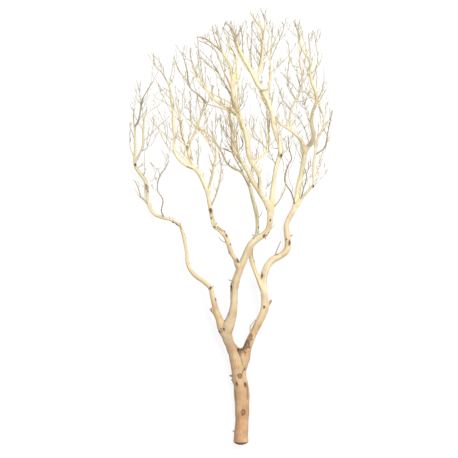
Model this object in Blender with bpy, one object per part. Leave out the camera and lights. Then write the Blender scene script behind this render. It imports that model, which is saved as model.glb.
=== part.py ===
# A bare driftwood branch, sand-blasted and bleached, lying on a flat surface.
# The sawn butt points to -Y and the crown of fine twigs to +Y, with +Z up.
# It grew as one piece, so it is one solid: trunk, limbs, broken stubs and twigs are
# tubes swept along their routes and joined by one union.
import math
import random

import bmesh
import bpy
from mathutils import Vector

# Driving dimensions
BRANCH_LENGTH = 1.5            # m, sawn butt to the highest twig tip
ROUTE_LENGTH = 1500.0          # mm, the length that the routes below are laid out for
UNIT = BRANCH_LENGTH / ROUTE_LENGTH
ORIGIN = (-35.0, 750.0)        # mm from the butt's centre to the middle of the branch
CROWN_TOP = 390.0              # mm above the surface, where the highest twigs stop
CROWN_LOW = 12.0               # mm above the surface, where the lowest twigs stop

# The limbs, in mm: x across, y along from the butt, z above the surface.
# root: the limb it grows from. thick: thicknesses, evenly spaced from root to tip.
# twigs: how many it carries. carries_on: it prolongs its root in one sweep.
# blunt: it is broken off square.
LIMBS = {
    "trunk": {
        "root": None,
        "thick": (48, 45.5, 45, 45.5, 47, 52, 50, 48.5, 52),
        "route": ((0, 0, 22.3), (0, 34, 21.3), (3, 89, 21.8), (3, 140, 23), (1, 192, 25.4),
                  (-6, 240, 28.6), (-9, 274, 31.8)),
        "twigs": 0,
    },
    "left_fork": {
        "root": "trunk",
        "thick": (52, 47, 35, 32.5, 35.5, 40, 41),
        "route": ((-16, 303, 35), (-27, 327, 38), (-38, 348, 41), (-46, 370, 44), (-49, 392, 48)),
        "twigs": 0,
        "carries_on": True,
    },
    "middle_limb": {
        "root": "left_fork",
        "thick": (41, 33.5, 30.5, 28, 26.5, 27, 28.5, 25.5, 25, 25),
        "route": ((-41, 416, 56), (-31, 445, 66), (-24, 483, 80), (-23, 521, 91), (-20, 551, 99),
                  (-12, 582, 107), (-1, 614, 114)),
        "twigs": 0,
        "carries_on": True,
    },
    "upper_middle_limb": {
        "root": "middle_limb",
        "thick": (25, 24, 23, 23, 21.5, 20.5, 19, 19, 20.5, 24),
        "route": ((10, 638, 121), (21, 664, 130), (34, 690, 137), (55, 710, 144), (81, 727, 151),
                  (96, 750, 159), (100, 783, 168), (103, 815, 175)),
        "twigs": 1,
        "carries_on": True,
    },
    "right_crown_limb": {
        "root": "upper_middle_limb",
        "thick": (22.5, 17.5, 15.5, 14.5, 14.5, 15, 17.5, 14, 13, 13.5, 15.5, 15.5, 15.5, 15.5, 16.5),
        "route": ((107, 846, 179), (109, 880, 182), (115, 925, 187), (123, 966, 193),
                  (134, 1000, 199), (132, 1028, 203), (121, 1062, 208), (112, 1096, 213),
                  (107, 1134, 218), (95, 1168, 224), (82, 1200, 230)),
        "twigs": 6,
        "carries_on": True,
    },
    "high_middle_limb": {
        "root": "right_crown_limb",
        "thick": (16.5, 15.5, 14, 12.5, 11, 10, 8.5, 7, 5.5, 3.5),
        "route": ((71, 1221, 234), (56, 1240, 239), (45, 1264, 244), (29, 1293, 251),
                  (12, 1322, 257), (-5, 1354, 264), (-17, 1382, 270), (-29, 1413, 275),
                  (-40, 1438, 279), (-48, 1447, 281)),
        "twigs": 8,
        "carries_on": True,
    },
    "far_left_limb": {
        "root": "left_fork",
        "thick": (31.5, 24.5, 22.5, 19, 17, 15, 13.5, 13, 12, 11.5, 10.5, 11, 12, 11, 12, 13, 13, 11,
                  9.5, 9, 8.5),
        "route": ((-48, 377, 46), (-65, 408, 50), (-77, 442, 54), (-88, 476, 57), (-97, 510, 56),
                  (-105, 541, 53), (-127, 562, 49), (-154, 581, 44), (-175, 605, 40),
                  (-184, 630, 39), (-186, 661, 43), (-192, 695, 49), (-200, 730, 54),
                  (-211, 757, 54), (-236, 773, 49), (-271, 783, 38), (-295, 793, 28),
                  (-312, 815, 17), (-321, 839, 8), (-322, 861, 5.2), (-323, 887, 5.2),
                  (-328, 908, 10), (-339, 925, 18), (-359, 952, 33), (-365, 980, 44),
                  (-363, 1021, 54), (-364, 1062, 62), (-364, 1099, 70)),
        "twigs": 5,
    },
    "right_limb": {
        "root": "trunk",
        "thick": (32, 30.5, 28.5, 27, 26.5, 25, 26, 25, 24.5, 24, 21.5, 21, 22.5, 23, 23, 22.5, 21,
                  18.5, 18.5, 19),
        "route": ((1, 264, 31), (16, 319, 36), (31, 360, 42), (48, 397, 46), (67, 435, 50),
                  (81, 468, 55), (82, 500, 59), (79, 538, 62), (79, 579, 61), (89, 613, 57),
                  (108, 637, 51), (134, 651, 45), (156, 670, 40), (161, 695, 37), (158, 726, 36),
                  (155, 754, 38), (166, 783, 41), (180, 807, 40)),
        "twigs": 0,
    },
    "right_upper_limb": {
        "root": "right_limb",
        "thick": (19, 19.5, 18, 17.5, 16.5, 15.5, 15.5, 17),
        "route": ((190, 837, 36), (196, 873, 29), (201, 901, 22), (208, 932, 14), (213, 962, 7.4),
                  (217, 985, 6.6), (220, 1006, 6.8)),
        "twigs": 2,
        "carries_on": True,
    },
    "right_crown_arm": {
        "root": "right_upper_limb",
        "thick": (17, 15.5, 15.5, 14, 12, 10.5, 11.5, 14, 13, 12, 12.5, 11.5, 10, 8.5, 7.5, 6, 4.5),
        "route": ((229, 1025, 12), (242, 1040, 23), (249, 1069, 40), (242, 1106, 57),
                  (246, 1144, 75), (258, 1178, 92), (256, 1214, 108), (242, 1250, 122),
                  (238, 1288, 136), (234, 1319, 147), (210, 1361, 159), (198, 1396, 168),
                  (192, 1432, 178), (183, 1460, 185)),
        "twigs": 9,
        "carries_on": True,
    },
    "far_right_limb": {
        "root": "right_limb",
        "thick": (14, 10, 9.5, 10, 9.5, 8.5, 8.5, 8, 6.5, 5.5, 5),
        "route": ((187, 819, 39), (209, 848, 48), (233, 877, 66), (249, 896, 78), (249, 932, 90),
                  (249, 973, 102), (256, 1010, 112), (255, 1038, 120), (269, 1065, 130),
                  (282, 1093, 138), (282, 1127, 148), (269, 1168, 158)),
        "twigs": 5,
    },
    "upper_left_limb": {
        "root": "middle_limb",
        "thick": (19.5, 15.5, 15, 15, 16.5, 17, 15.5, 15, 14.5, 14, 14, 14.5),
        "route": ((-3, 603, 111), (-18, 637, 120), (-34, 664, 130), (-43, 692, 139), (-54, 719, 149),
                  (-73, 740, 158), (-91, 754, 164), (-99, 784, 172), (-105, 815, 181),
                  (-111, 849, 190)),
        "twigs": 1,
    },
    "left_crown_limb": {
        "root": "upper_left_limb",
        "thick": (14.5, 15, 14, 13, 11, 9.5, 9, 10, 11.5, 11.5, 10, 9.5, 8.5, 7.5, 6, 4.5, 3.5),
        "route": ((-118, 877, 196), (-129, 904, 202), (-144, 932, 208), (-159, 949, 213),
                  (-185, 960, 219), (-206, 976, 223), (-224, 1000, 227), (-229, 1028, 232),
                  (-228, 1069, 237), (-232, 1110, 242), (-232, 1151, 246), (-240, 1192, 252),
                  (-245, 1230, 256), (-260, 1260, 258), (-274, 1281, 260), (-289, 1295, 262),
                  (-298, 1325, 265), (-300, 1346, 266)),
        "twigs": 9,
        "carries_on": True,
    },
    "left_crown_arm": {
        "root": "left_crown_limb",
        "thick": (13.5, 11.5, 10, 8.5, 7.5, 6.5, 5.5),
        "route": ((-152, 941, 211), (-170, 974, 203), (-180, 1004, 193), (-185, 1028, 187),
                  (-197, 1055, 184), (-206, 1093, 182), (-211, 1137, 184), (-223, 1175, 188)),
        "twigs": 7,
    },
    "left_crown_spur": {
        "root": "left_crown_arm",
        "thick": (9.5, 8, 7.5, 6.5, 6.5, 6.5),
        "route": ((-183, 1017, 190), (-169, 1051, 180), (-153, 1086, 175), (-140, 1123, 171),
                  (-127, 1164, 168)),
        "twigs": 5,
    },
    "high_left_twig": {
        "root": "left_crown_spur",
        "thick": (6.5, 6.5, 5.5, 4.5, 3.5, 2.5),
        "route": ((-128, 1187, 169), (-145, 1202, 173), (-171, 1223, 178), (-184, 1252, 186),
                  (-212, 1284, 195), (-224, 1312, 202), (-229, 1336, 207)),
        "twigs": 3,
        "carries_on": True,
    },
    "high_left_prong": {
        "root": "high_left_twig",
        "thick": (5.5, 5.5, 4.5, 3.5, 2.5),
        "route": ((-175, 1226, 179), (-182, 1257, 190), (-185, 1288, 202), (-193, 1315, 212),
                  (-199, 1336, 218), (-214, 1358, 224), (-225, 1375, 228)),
        "twigs": 1,
    },
    "inner_left_limb": {
        "root": "upper_left_limb",
        "thick": (11, 8, 7.5, 7, 6.5, 5.5, 4.5, 3.5),
        "route": ((-112, 856, 191), (-107, 897, 209), (-98, 928, 225), (-93, 959, 240),
                  (-86, 990, 252), (-92, 1017, 261), (-113, 1041, 269), (-130, 1065, 275),
                  (-140, 1093, 281)),
        "twigs": 5,
    },
    "lower_middle_limb": {
        "root": "right_limb",
        "thick": (18.5, 15, 15, 16.5, 15, 13.5, 13.5, 13, 14, 14, 13, 11, 8),
        "route": ((77, 534, 62), (64, 565, 60), (50, 596, 58), (38, 630, 60), (34, 664, 66),
                  (42, 699, 76), (55, 730, 85), (56, 771, 95), (51, 805, 104), (40, 849, 113),
                  (29, 890, 123), (12, 925, 132), (-3, 941, 137)),
        "twigs": 2,
    },
    "low_crown_limb": {
        "root": "lower_middle_limb",
        "thick": (8, 6, 6, 7.5, 7.5, 6.5, 6, 5, 3.5),
        "route": ((-24, 950, 142), (-48, 969, 148), (-64, 1001, 154), (-87, 1038, 160),
                  (-115, 1071, 165), (-149, 1091, 169), (-182, 1121, 173)),
        "twigs": 8,
        "carries_on": True,
    },
    "brown_crown_limb": {
        "root": "upper_middle_limb",
        "thick": (20.5, 17, 17, 17.5, 18.5, 17, 16.5, 15, 13.5, 12, 11, 8.5),
        "route": ((103, 798, 171), (90, 829, 183), (72, 856, 193), (53, 887, 203), (36, 914, 211),
                  (21, 944, 220), (3, 973, 229), (-16, 1000, 236), (-28, 1028, 242),
                  (-30, 1075, 250), (-38, 1120, 258), (-45, 1158, 265)),
        "twigs": 10,
    },
    "tall_crown_limb": {
        "root": "brown_crown_limb",
        "thick": (12, 11.5, 11.5, 13, 15.5, 17.5, 17, 17, 17.5, 18.5, 17, 15.5, 15, 13.5, 11.5, 9.5, 8),
        "route": ((73, 849, 192), (65, 887, 207), (63, 918, 218), (51, 949, 230), (34, 976, 239),
                  (25, 1007, 247), (21, 1045, 256), (13, 1082, 264), (-2, 1120, 272),
                  (-14, 1158, 278), (-25, 1195, 284), (-28, 1233, 289), (-29, 1271, 294),
                  (-39, 1305, 299), (-53, 1332, 303), (-66, 1349, 306)),
        "twigs": 9,
    },
    "tall_twig": {
        "root": "tall_crown_limb",
        "thick": (8, 6.5, 6, 4.5, 3.5),
        "route": ((-82, 1364, 310), (-110, 1386, 313), (-134, 1396, 315), (-154, 1399, 316)),
        "twigs": 1,
        "carries_on": True,
    },
    "tall_prong": {
        "root": "tall_crown_limb",
        "thick": (7.5, 6, 5, 3.5),
        "route": ((-63, 1344, 305), (-70, 1370, 316), (-79, 1399, 326), (-84, 1425, 333),
                  (-89, 1443, 337)),
        "twigs": 2,
    },
    "pale_crown_limb": {
        "root": "tall_crown_limb",
        "thick": (15, 13, 11.5, 10, 8.5, 7.5, 6, 4.5, 2.5),
        "route": ((-6, 1130, 274), (-31, 1153, 268), (-65, 1169, 258), (-96, 1190, 250),
                  (-120, 1224, 244), (-138, 1255, 240), (-160, 1286, 236), (-170, 1322, 233),
                  (-176, 1353, 231)),
        "twigs": 9,
    },
    "rust_twig": {
        "root": "tall_crown_limb",
        "thick": (7.5, 6.5, 6, 5, 3.5, 2.5),
        "route": ((-27, 1212, 286), (-45, 1251, 296), (-62, 1288, 305), (-75, 1325, 313),
                  (-87, 1351, 318), (-114, 1372, 322), (-144, 1385, 324)),
        "twigs": 2,
    },
    "left_spray": {
        "root": "tall_crown_limb",
        "thick": (7, 6, 5, 3.5, 2.5),
        "route": ((-25, 1188, 283), (-47, 1224, 276), (-68, 1259, 268), (-89, 1295, 262),
                  (-103, 1319, 258)),
        "twigs": 3,
    },
    "middle_prong": {
        "root": "tall_crown_limb",
        "thick": (9.5, 8.5, 7, 6, 4.5, 2.5),
        "route": ((-27, 1247, 290), (-17, 1286, 282), (-17, 1319, 276), (-24, 1346, 271),
                  (-39, 1367, 268), (-45, 1392, 266)),
        "twigs": 3,
    },
    "side_crown_limb": {
        "root": "tall_crown_limb",
        "thick": (9.5, 8, 7.5, 6.5, 6, 5, 3.5),
        "route": ((39, 966, 236), (60, 984, 228), (84, 1002, 220), (92, 1028, 213), (95, 1069, 206),
                  (92, 1106, 201), (87, 1144, 197)),
        "twigs": 6,
    },
    "high_top_limb": {
        "root": "high_middle_limb",
        "thick": (11, 10, 11, 9.5, 8, 6.5, 5, 3.5),
        "route": ((48, 1256, 243), (64, 1284, 239), (71, 1319, 236), (75, 1356, 232),
                  (75, 1394, 229), (71, 1426, 227), (53, 1450, 225), (39, 1471, 224), (31, 1486, 223)),
        "twigs": 6,
    },
    "top_twig": {
        "root": "high_top_limb",
        "thick": (6, 5.5, 4.5, 3),
        "route": ((75, 1384, 230), (79, 1425, 238), (81, 1459, 244), (83, 1483, 248), (87, 1500, 250)),
        "twigs": 0,
    },
    "top_fork_twig": {
        "root": "top_twig",
        "thick": (3.5, 3, 2),
        "route": ((81, 1456, 243), (73, 1480, 249), (64, 1499, 254)),
        "twigs": 0,
    },
    "high_right_limb": {
        "root": "right_crown_limb",
        "thick": (9.5, 7.5, 6.5, 6, 5, 3.5),
        "route": ((80, 1206, 230), (95, 1226, 221), (101, 1260, 211), (99, 1302, 202),
                  (101, 1346, 193), (106, 1387, 186), (108, 1421, 181)),
        "twigs": 5,
    },
    "top_right_twig": {
        "root": "high_right_limb",
        "thick": (4.5, 4, 3.5, 2.5),
        "route": ((101, 1322, 197), (121, 1370, 208), (140, 1411, 218), (149, 1442, 224),
                  (155, 1469, 229)),
        "twigs": 0,
    },
    "high_crown_twig": {
        "root": "high_middle_limb",
        "thick": (5.5, 4.5, 3.5, 2.5),
        "route": ((9, 1325, 258), (5, 1360, 264), (5, 1391, 270), (0, 1421, 275), (-3, 1441, 278)),
        "twigs": 1,
    },
    "inner_crown_twig": {
        "root": "high_middle_limb",
        "thick": (5.5, 4.5, 3.5, 2.5),
        "route": ((36, 1281, 249), (34, 1322, 243), (33, 1360, 238), (36, 1394, 234), (36, 1430, 231)),
        "twigs": 1,
    },
    "arching_limb": {
        "root": "right_upper_limb",
        "thick": (15, 13, 11.5, 10, 9.5, 8.5, 7.5, 6, 4.5),
        "route": ((221, 1004, 8), (207, 1045, 27), (183, 1073, 47), (153, 1093, 68), (125, 1114, 92),
                  (103, 1144, 112), (82, 1175, 130), (68, 1212, 148), (62, 1254, 162)),
        "twigs": 7,
    },
    "inner_right_limb": {
        "root": "arching_limb",
        "thick": (9, 8, 7.5, 7.5, 6.5, 5.5, 4.5, 3.5),
        "route": ((171, 1079, 54), (167, 1118, 72), (176, 1163, 91), (195, 1197, 107),
                  (209, 1233, 123), (208, 1274, 140), (202, 1315, 155), (201, 1363, 170)),
        "twigs": 8,
    },
    "right_top_prong": {
        "root": "right_crown_arm",
        "thick": (5, 4.5, 3.5, 2.5),
        "route": ((240, 1240, 119), (256, 1288, 134), (263, 1336, 146), (256, 1380, 156),
                  (265, 1432, 166)),
        "twigs": 2,
    },
    "right_outer_prong": {
        "root": "right_crown_arm",
        "thick": (4.5, 3.5, 2.5),
        "route": ((258, 1182, 94), (275, 1212, 108), (284, 1247, 120), (284, 1278, 130)),
        "twigs": 1,
    },
    "outer_right_twig": {
        "root": "far_right_limb",
        "thick": (5.5, 4.5, 4, 3.5),
        "route": ((256, 1000, 108), (274, 1011, 116), (289, 1025, 124), (295, 1058, 136),
                  (303, 1103, 150), (313, 1151, 164)),
        "twigs": 2,
    },
    "left_second_limb": {
        "root": "far_left_limb",
        "thick": (8, 8, 8, 7.5, 6, 4.5),
        "route": ((-364, 973, 42), (-348, 1001, 56), (-336, 1031, 70), (-335, 1079, 86),
                  (-331, 1123, 100), (-323, 1149, 108)),
        "twigs": 4,
    },
    "left_tip": {
        "root": "far_left_limb",
        "thick": (8, 6.5, 5.5, 4, 2.5),
        "route": ((-364, 1093, 69), (-351, 1119, 78), (-343, 1158, 90), (-334, 1195, 102),
                  (-316, 1226, 112), (-303, 1248, 118)),
        "twigs": 4,
    },
    "left_outer_tip": {
        "root": "far_left_limb",
        "thick": (6, 4.5, 3.5, 2.5),
        "route": ((-364, 1082, 66), (-369, 1120, 60), (-369, 1151, 56), (-377, 1162, 54)),
        "twigs": 1,
    },
    "grey_twig": {
        "root": "far_left_limb",
        "thick": (4.5, 4, 3.5, 3.5, 3, 2.5),
        "route": ((-264, 781, 40), (-273, 806, 52), (-268, 843, 70), (-287, 880, 90),
                  (-278, 926, 110), (-260, 950, 124), (-248, 976, 136)),
        "twigs": 1,
    },
    "left_sprig": {
        "root": "far_left_limb",
        "thick": (5.5, 4.5, 3.5, 2.5),
        "route": ((-321, 832, 12), (-341, 851, 24), (-351, 878, 36), (-362, 908, 48)),
        "twigs": 0,
    },
    "forked_twig": {
        "root": "upper_left_limb",
        "thick": (6, 5, 4.5, 4, 3.5, 2.5),
        "route": ((-106, 819, 182), (-89, 851, 198), (-77, 889, 216), (-70, 925, 230),
                  (-68, 962, 242), (-75, 1004, 254)),
        "twigs": 2,
    },
    "dark_twig": {
        "root": "right_limb",
        "thick": (5, 4.5, 4, 3.5, 3.5, 3, 2.5),
        "route": ((186, 822, 40), (173, 867, 58), (150, 909, 80), (161, 959, 104), (173, 984, 116),
                  (164, 1024, 132), (161, 1065, 146)),
        "twigs": 2,
    },
    "crossing_twig": {
        "root": "right_crown_limb",
        "thick": (4.5, 3.5, 2.5),
        "route": ((106, 812, 176), (132, 843, 186), (153, 884, 198)),
        "twigs": 0,
    },
    "right_inner_twig": {
        "root": "far_right_limb",
        "thick": (5, 4, 3.5, 2.5),
        "route": ((206, 843, 47), (214, 880, 66), (225, 918, 84), (219, 952, 98)),
        "twigs": 1,
    },
    "upper_left_sprig": {
        "root": "upper_left_limb",
        "thick": (4.5, 3, 2),
        "route": ((-46, 695, 140), (-66, 703, 150), (-77, 718, 158)),
        "twigs": 0,
    },
    "right_sprig": {
        "root": "right_limb",
        "thick": (4.5, 3.5, 2.5),
        "route": ((113, 642, 50), (125, 675, 64), (137, 703, 78)),
        "twigs": 0,
    },
    "low_right_sprig": {
        "root": "right_limb",
        "thick": (4.5, 3.5, 2.5),
        "route": ((38, 373, 43), (32, 408, 56), (54, 436, 68)),
        "twigs": 0,
    },
    "fork_stub": {
        "root": "left_fork",
        "thick": (21, 16.5, 14),
        "route": ((-60, 401, 49), (-86, 450, 54), (-103, 472, 56)),
        "twigs": 0,
        "blunt": True,
    },
    "crotch_stub": {
        "root": "trunk",
        "thick": (21.5, 15, 11.5),
        "route": ((-2, 274, 36), (-1, 308, 50), (-3, 329, 58)),
        "twigs": 0,
        "blunt": True,
    },
    "left_stub": {
        "root": "left_fork",
        "thick": (11.5, 9.5, 8),
        "route": ((-50, 377, 46), (-66, 387, 44), (-76, 393, 43)),
        "twigs": 0,
        "blunt": True,
    },
    "right_stub": {
        "root": "right_limb",
        "thick": (11.5, 8.5, 7.5),
        "route": ((84, 480, 56), (97, 488, 60), (105, 500, 64)),
        "twigs": 0,
        "blunt": True,
    },
    "elbow_stub": {
        "root": "far_left_limb",
        "thick": (8, 6, 5.5),
        "route": ((-104, 536, 54), (-93, 549, 60)),
        "twigs": 0,
        "blunt": True,
    },
}

# How far along the crown reaches, from left to right, in mm: twigs stop short of it
CROWN_OUTLINE = (
    (-392, 1170), (-366, 1245), (-340, 1253), (-325, 1356), (-295, 1356), (-268, 1318),
    (-240, 1284), (-228, 1374), (-186, 1376), (-165, 1370), (-154, 1400), (-118, 1426),
    (-92, 1446), (-48, 1460), (-30, 1462), (0, 1446), (28, 1488), (65, 1500), (92, 1500),
    (120, 1440), (154, 1474), (182, 1464), (206, 1468), (230, 1416), (256, 1436),
    (274, 1434), (280, 1330), (291, 1276), (310, 1172), (318, 1158),
)

TWIGS = {
    "length": (55.0, 135.0),   # mm
    "low_share": 0.45,         # a twig below LOW_CROWN has this share of its length
    "root": 5.0,               # mm across where it leaves its limb, at most
    "share_of_limb": 0.5,      # and at most this share of the limb's thickness
    "tip": 2.2,                # mm across near its tip
    "lean": (24.0, 50.0),      # degrees off the limb's own direction
    "bends": 4,                # stretches, each with a heading of its own
    "wander": 0.30,            # how far each stretch strays
    "pull": 0.26,              # how far each stretch turns outwards
    "first": 0.30,             # share of the limb below its first twig
    "jitter": 0.6,             # radians that a twig strays from the spiral round its limb
    "seed": 11,
}
LOW_CROWN = 900.0                          # mm along, where the open lower limbs end
GOLDEN_ANGLE = math.radians(137.5)         # from one twig to the next round the limb
FAN_CENTRE = Vector((-5.0, 480.0, 170.0))  # mm, the place that the crown fans out from
FORWARD = Vector((0.0, 0.8, 0.0))          # how strongly twigs keep to the branch's length

SAMPLE_STEP = 3.0              # mm between the samples of a smooth route
SIDES = ((34.0, 10), (17.0, 8), (10.5, 6), (7.0, 5), (4.6, 4), (0.0, 3))   # by thickness, mm
TWIG_SIDES = 3
CLOSEST_RINGS = 0.8            # thicknesses from one ring to the next, at least
WIDEST_RINGS = 1.7             # and at most, or as far as the next line says
WIDEST_THIN = 36.0             # mm
LIMB_TURN = math.radians(20)   # a new ring once a limb has turned this far
TWIG_TURN = math.radians(34)   # and the same for a twig, or a limb with as few sides as the next line
FEW_SIDES = 4
SHARP_EDGE = math.radians(50)  # edges that turn more than this are shaded sharp

WOOD_COLOUR = (0.80, 0.62, 0.40, 1.0)
WOOD_ROUGHNESS = 0.75


def clear_scene():
    for thing in list(bpy.data.objects):
        bpy.data.objects.remove(thing)


def wood_material():
    wood = bpy.data.materials.new("bleached_wood")
    wood.use_nodes = True
    shader = wood.node_tree.nodes["Principled BSDF"]
    shader.inputs["Base Color"].default_value = WOOD_COLOUR
    shader.inputs["Roughness"].default_value = WOOD_ROUGHNESS
    shader.inputs["Metallic"].default_value = 0.0
    return wood


def lengths_along(points):
    """The length of the line up to each point."""
    lengths = [0.0]
    for a, b in zip(points, points[1:]):
        lengths.append(lengths[-1] + (b - a).length)
    return lengths


def spread(values, share):
    """The value at a share of the way along evenly spaced values."""
    place = share * (len(values) - 1)
    low = min(int(place), len(values) - 2)
    return values[low] + (values[low + 1] - values[low]) * (place - low)


def smooth_line(points, widths):
    """Samples of a smooth curve through the points, with the thickness at each."""
    knots = [2 * points[0] - points[1]] + points + [2 * points[-1] - points[-2]]
    spots, thick = [], []
    for n in range(len(points) - 1):
        before, start, end, after = knots[n:n + 4]
        count = max(2, round((end - start).length / SAMPLE_STEP))
        for k in range(count):
            t = k / count
            spots.append(0.5 * (2 * start + (end - before) * t
                                + (2 * before - 5 * start + 4 * end - after) * t * t
                                + (3 * start - before - 3 * end + after) * t ** 3))
            thick.append(widths[n] + (widths[n + 1] - widths[n]) * t)
    return spots + [points[-1]], thick + [widths[-1]]


def stretch(limb):
    """A limb's route points, with its thickness at each."""
    points = [Vector(p) for p in limb["route"]]
    lengths = lengths_along(points)
    return points, [spread(limb["thick"], s / lengths[-1]) for s in lengths]


def whole_line(name):
    """The smooth line of a limb and of the limbs that carry on from its end."""
    points, widths = stretch(LIMBS[name])
    last = name
    for other, limb in LIMBS.items():
        if limb.get("carries_on") and limb["root"] == last:
            more_points, more_widths = stretch(limb)
            points += more_points
            widths += more_widths
            last = other
    return smooth_line(points, widths)


def pick_rings(spots, thick, largest_turn):
    """Which samples carry a ring: few on straight stretches, more round a bend."""
    lengths = lengths_along(spots)
    chosen = [0]
    for i in range(1, len(spots) - 1):
        last = chosen[-1]
        gone = lengths[i] - lengths[last]
        turned = (spots[i + 1] - spots[i]).angle(spots[last + 1] - spots[last])
        far = gone > max(WIDEST_RINGS * thick[i], WIDEST_THIN)
        if gone > CLOSEST_RINGS * thick[i] and (far or turned > largest_turn):
            chosen.append(i)
    if len(chosen) > 1 and lengths[-1] - lengths[chosen[-1]] < CLOSEST_RINGS * thick[-1]:
        chosen.pop()
    return chosen + [len(spots) - 1]


def sweep(name, line, sides, largest_turn, blunt=False):
    """A closed tube along a smooth line, pointed at its tip or broken off square."""
    spots, thick = line
    chosen = pick_rings(spots, thick, largest_turn)
    shape = bmesh.new()
    rings = []
    across = (spots[1] - spots[0]).cross(Vector((0.0, 0.0, 1.0)))
    for i in chosen:
        heading = (spots[min(i + 1, len(spots) - 1)] - spots[max(i - 1, 0)]).normalized()
        across = (across - heading * across.dot(heading)).normalized()
        up = across.cross(heading)
        if i == chosen[-1] and not blunt:
            rings.append([shape.verts.new(spots[i] * UNIT)])
            continue
        ring = []
        for k in range(sides):
            turn = 2 * math.pi * k / sides
            rim = across * math.cos(turn) + up * math.sin(turn)
            ring.append(shape.verts.new((spots[i] + rim * thick[i] / 2) * UNIT))
        rings.append(ring)
    for low, high in zip(rings, rings[1:]):
        for k in range(sides):
            after = (k + 1) % sides
            if len(high) == 1:
                shape.faces.new((low[k], low[after], high[0]))
            else:
                shape.faces.new((low[k], low[after], high[after], high[k]))
    shape.faces.new(list(reversed(rings[0])))
    if blunt:
        shape.faces.new(rings[-1])
    bmesh.ops.recalc_face_normals(shape, faces=shape.faces)
    bmesh.ops.triangulate(shape, faces=shape.faces)
    mesh = bpy.data.meshes.new(name)
    shape.to_mesh(mesh)
    shape.free()
    return bpy.data.objects.new(name, mesh)


def sides_for(width):
    return next(sides for least, sides in SIDES if width >= least)


def limb_tubes():
    """One tube for each limb, with the limbs that carry on from it."""
    tubes = []
    for name, limb in LIMBS.items():
        if limb.get("carries_on"):
            continue
        sides = sides_for(max(limb["thick"]))
        turn = LIMB_TURN if sides > FEW_SIDES else TWIG_TURN
        blunt = limb.get("blunt", False)
        tubes.append(sweep(name, whole_line(name), sides, turn, blunt))
    return tubes


def outline_top(x):
    """How far along the crown reaches at this place across."""
    for (x0, y0), (x1, y1) in zip(CROWN_OUTLINE, CROWN_OUTLINE[1:]):
        if x0 <= x <= x1:
            return y0 + (y1 - y0) * (x - x0) / (x1 - x0)
    return 0.0


def twig_route(draw, start, heading, length):
    """A wandering route that turns outwards, kept inside the crown."""
    route = [start]
    step = length / TWIGS["bends"]
    inside = True
    for _ in range(TWIGS["bends"]):
        outwards = ((route[-1] - FAN_CENTRE).normalized() + FORWARD).normalized()
        stray = Vector([draw.uniform(-TWIGS["wander"], TWIGS["wander"]) for _ in range(3)])
        heading = (heading + outwards * TWIGS["pull"] + stray).normalized()
        spot = route[-1] + heading * step
        spot.z = min(max(spot.z, CROWN_LOW), CROWN_TOP)
        inside = inside and spot.y < outline_top(spot.x)
        if inside:
            route.append(spot)
    return route


def grow_twigs():
    """The name, route and thicknesses of each twig, limb by limb."""
    draw = random.Random(TWIGS["seed"])
    twigs = []
    for name, limb in LIMBS.items():
        spots, thick = smooth_line(*stretch(limb))
        lengths = lengths_along(spots)
        for k in range(limb["twigs"]):
            share = (k + draw.uniform(0.1, 0.9)) / limb["twigs"]
            share = TWIGS["first"] + (1 - TWIGS["first"]) * share
            i = next(n for n, s in enumerate(lengths) if s >= share * lengths[-1] or n == len(spots) - 2)
            forward = (spots[i + 1] - spots[i]).normalized()
            side = forward.cross(Vector((0.0, 0.0, 1.0))).normalized()
            roll = k * GOLDEN_ANGLE + draw.uniform(-TWIGS["jitter"], TWIGS["jitter"])
            away = side * math.cos(roll) + side.cross(forward) * math.sin(roll)
            lean = math.radians(draw.uniform(*TWIGS["lean"]))
            heading = forward * math.cos(lean) + away * math.sin(lean)
            length = draw.uniform(*TWIGS["length"])
            if spots[i].y < LOW_CROWN:
                length *= TWIGS["low_share"]
            route = twig_route(draw, spots[i], heading, length)
            width = min(TWIGS["root"], TWIGS["share_of_limb"] * thick[i])
            if len(route) > 2:
                twigs.append((f"{name}_twig_{k + 1}", route, (width, TWIGS["tip"])))
    return twigs


def twig_tubes():
    tubes = []
    for name, route, (root, tip) in grow_twigs():
        widths = [spread((root, tip), n / (len(route) - 1)) for n in range(len(route))]
        tubes.append(sweep(name, smooth_line(route, widths), TWIG_SIDES, TWIG_TURN))
    return tubes


def apply_modifiers(thing):
    ready = thing.evaluated_get(bpy.context.evaluated_depsgraph_get())
    mesh = bpy.data.meshes.new_from_object(ready)
    thing.modifiers.clear()
    thing.data = mesh


def join(base, pieces):
    """One union of the base with every other piece."""
    group = bpy.data.collections.new("pieces_to_join")
    bpy.context.scene.collection.children.link(group)
    for piece in pieces:
        group.objects.link(piece)
    union = base.modifiers.new("join", "BOOLEAN")
    union.operation = "UNION"
    union.operand_type = "COLLECTION"
    union.collection = group
    union.solver = "MANIFOLD"
    apply_modifiers(base)
    for piece in pieces:
        bpy.data.objects.remove(piece)
    bpy.data.collections.remove(group)


def cut_flats(branch):
    """Cuts the low points off at the surface, which leaves a small flat at each."""
    depth = BRANCH_LENGTH * 2
    bpy.ops.mesh.primitive_cube_add(size=depth, location=(0.0, 0.0, -depth / 2))
    below = bpy.context.object
    below.hide_render = True
    below.display_type = "WIRE"
    cut = branch.modifiers.new("flats", "BOOLEAN")
    cut.operation = "DIFFERENCE"
    cut.object = below
    cut.solver = "MANIFOLD"
    apply_modifiers(branch)
    bpy.data.objects.remove(below)


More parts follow.
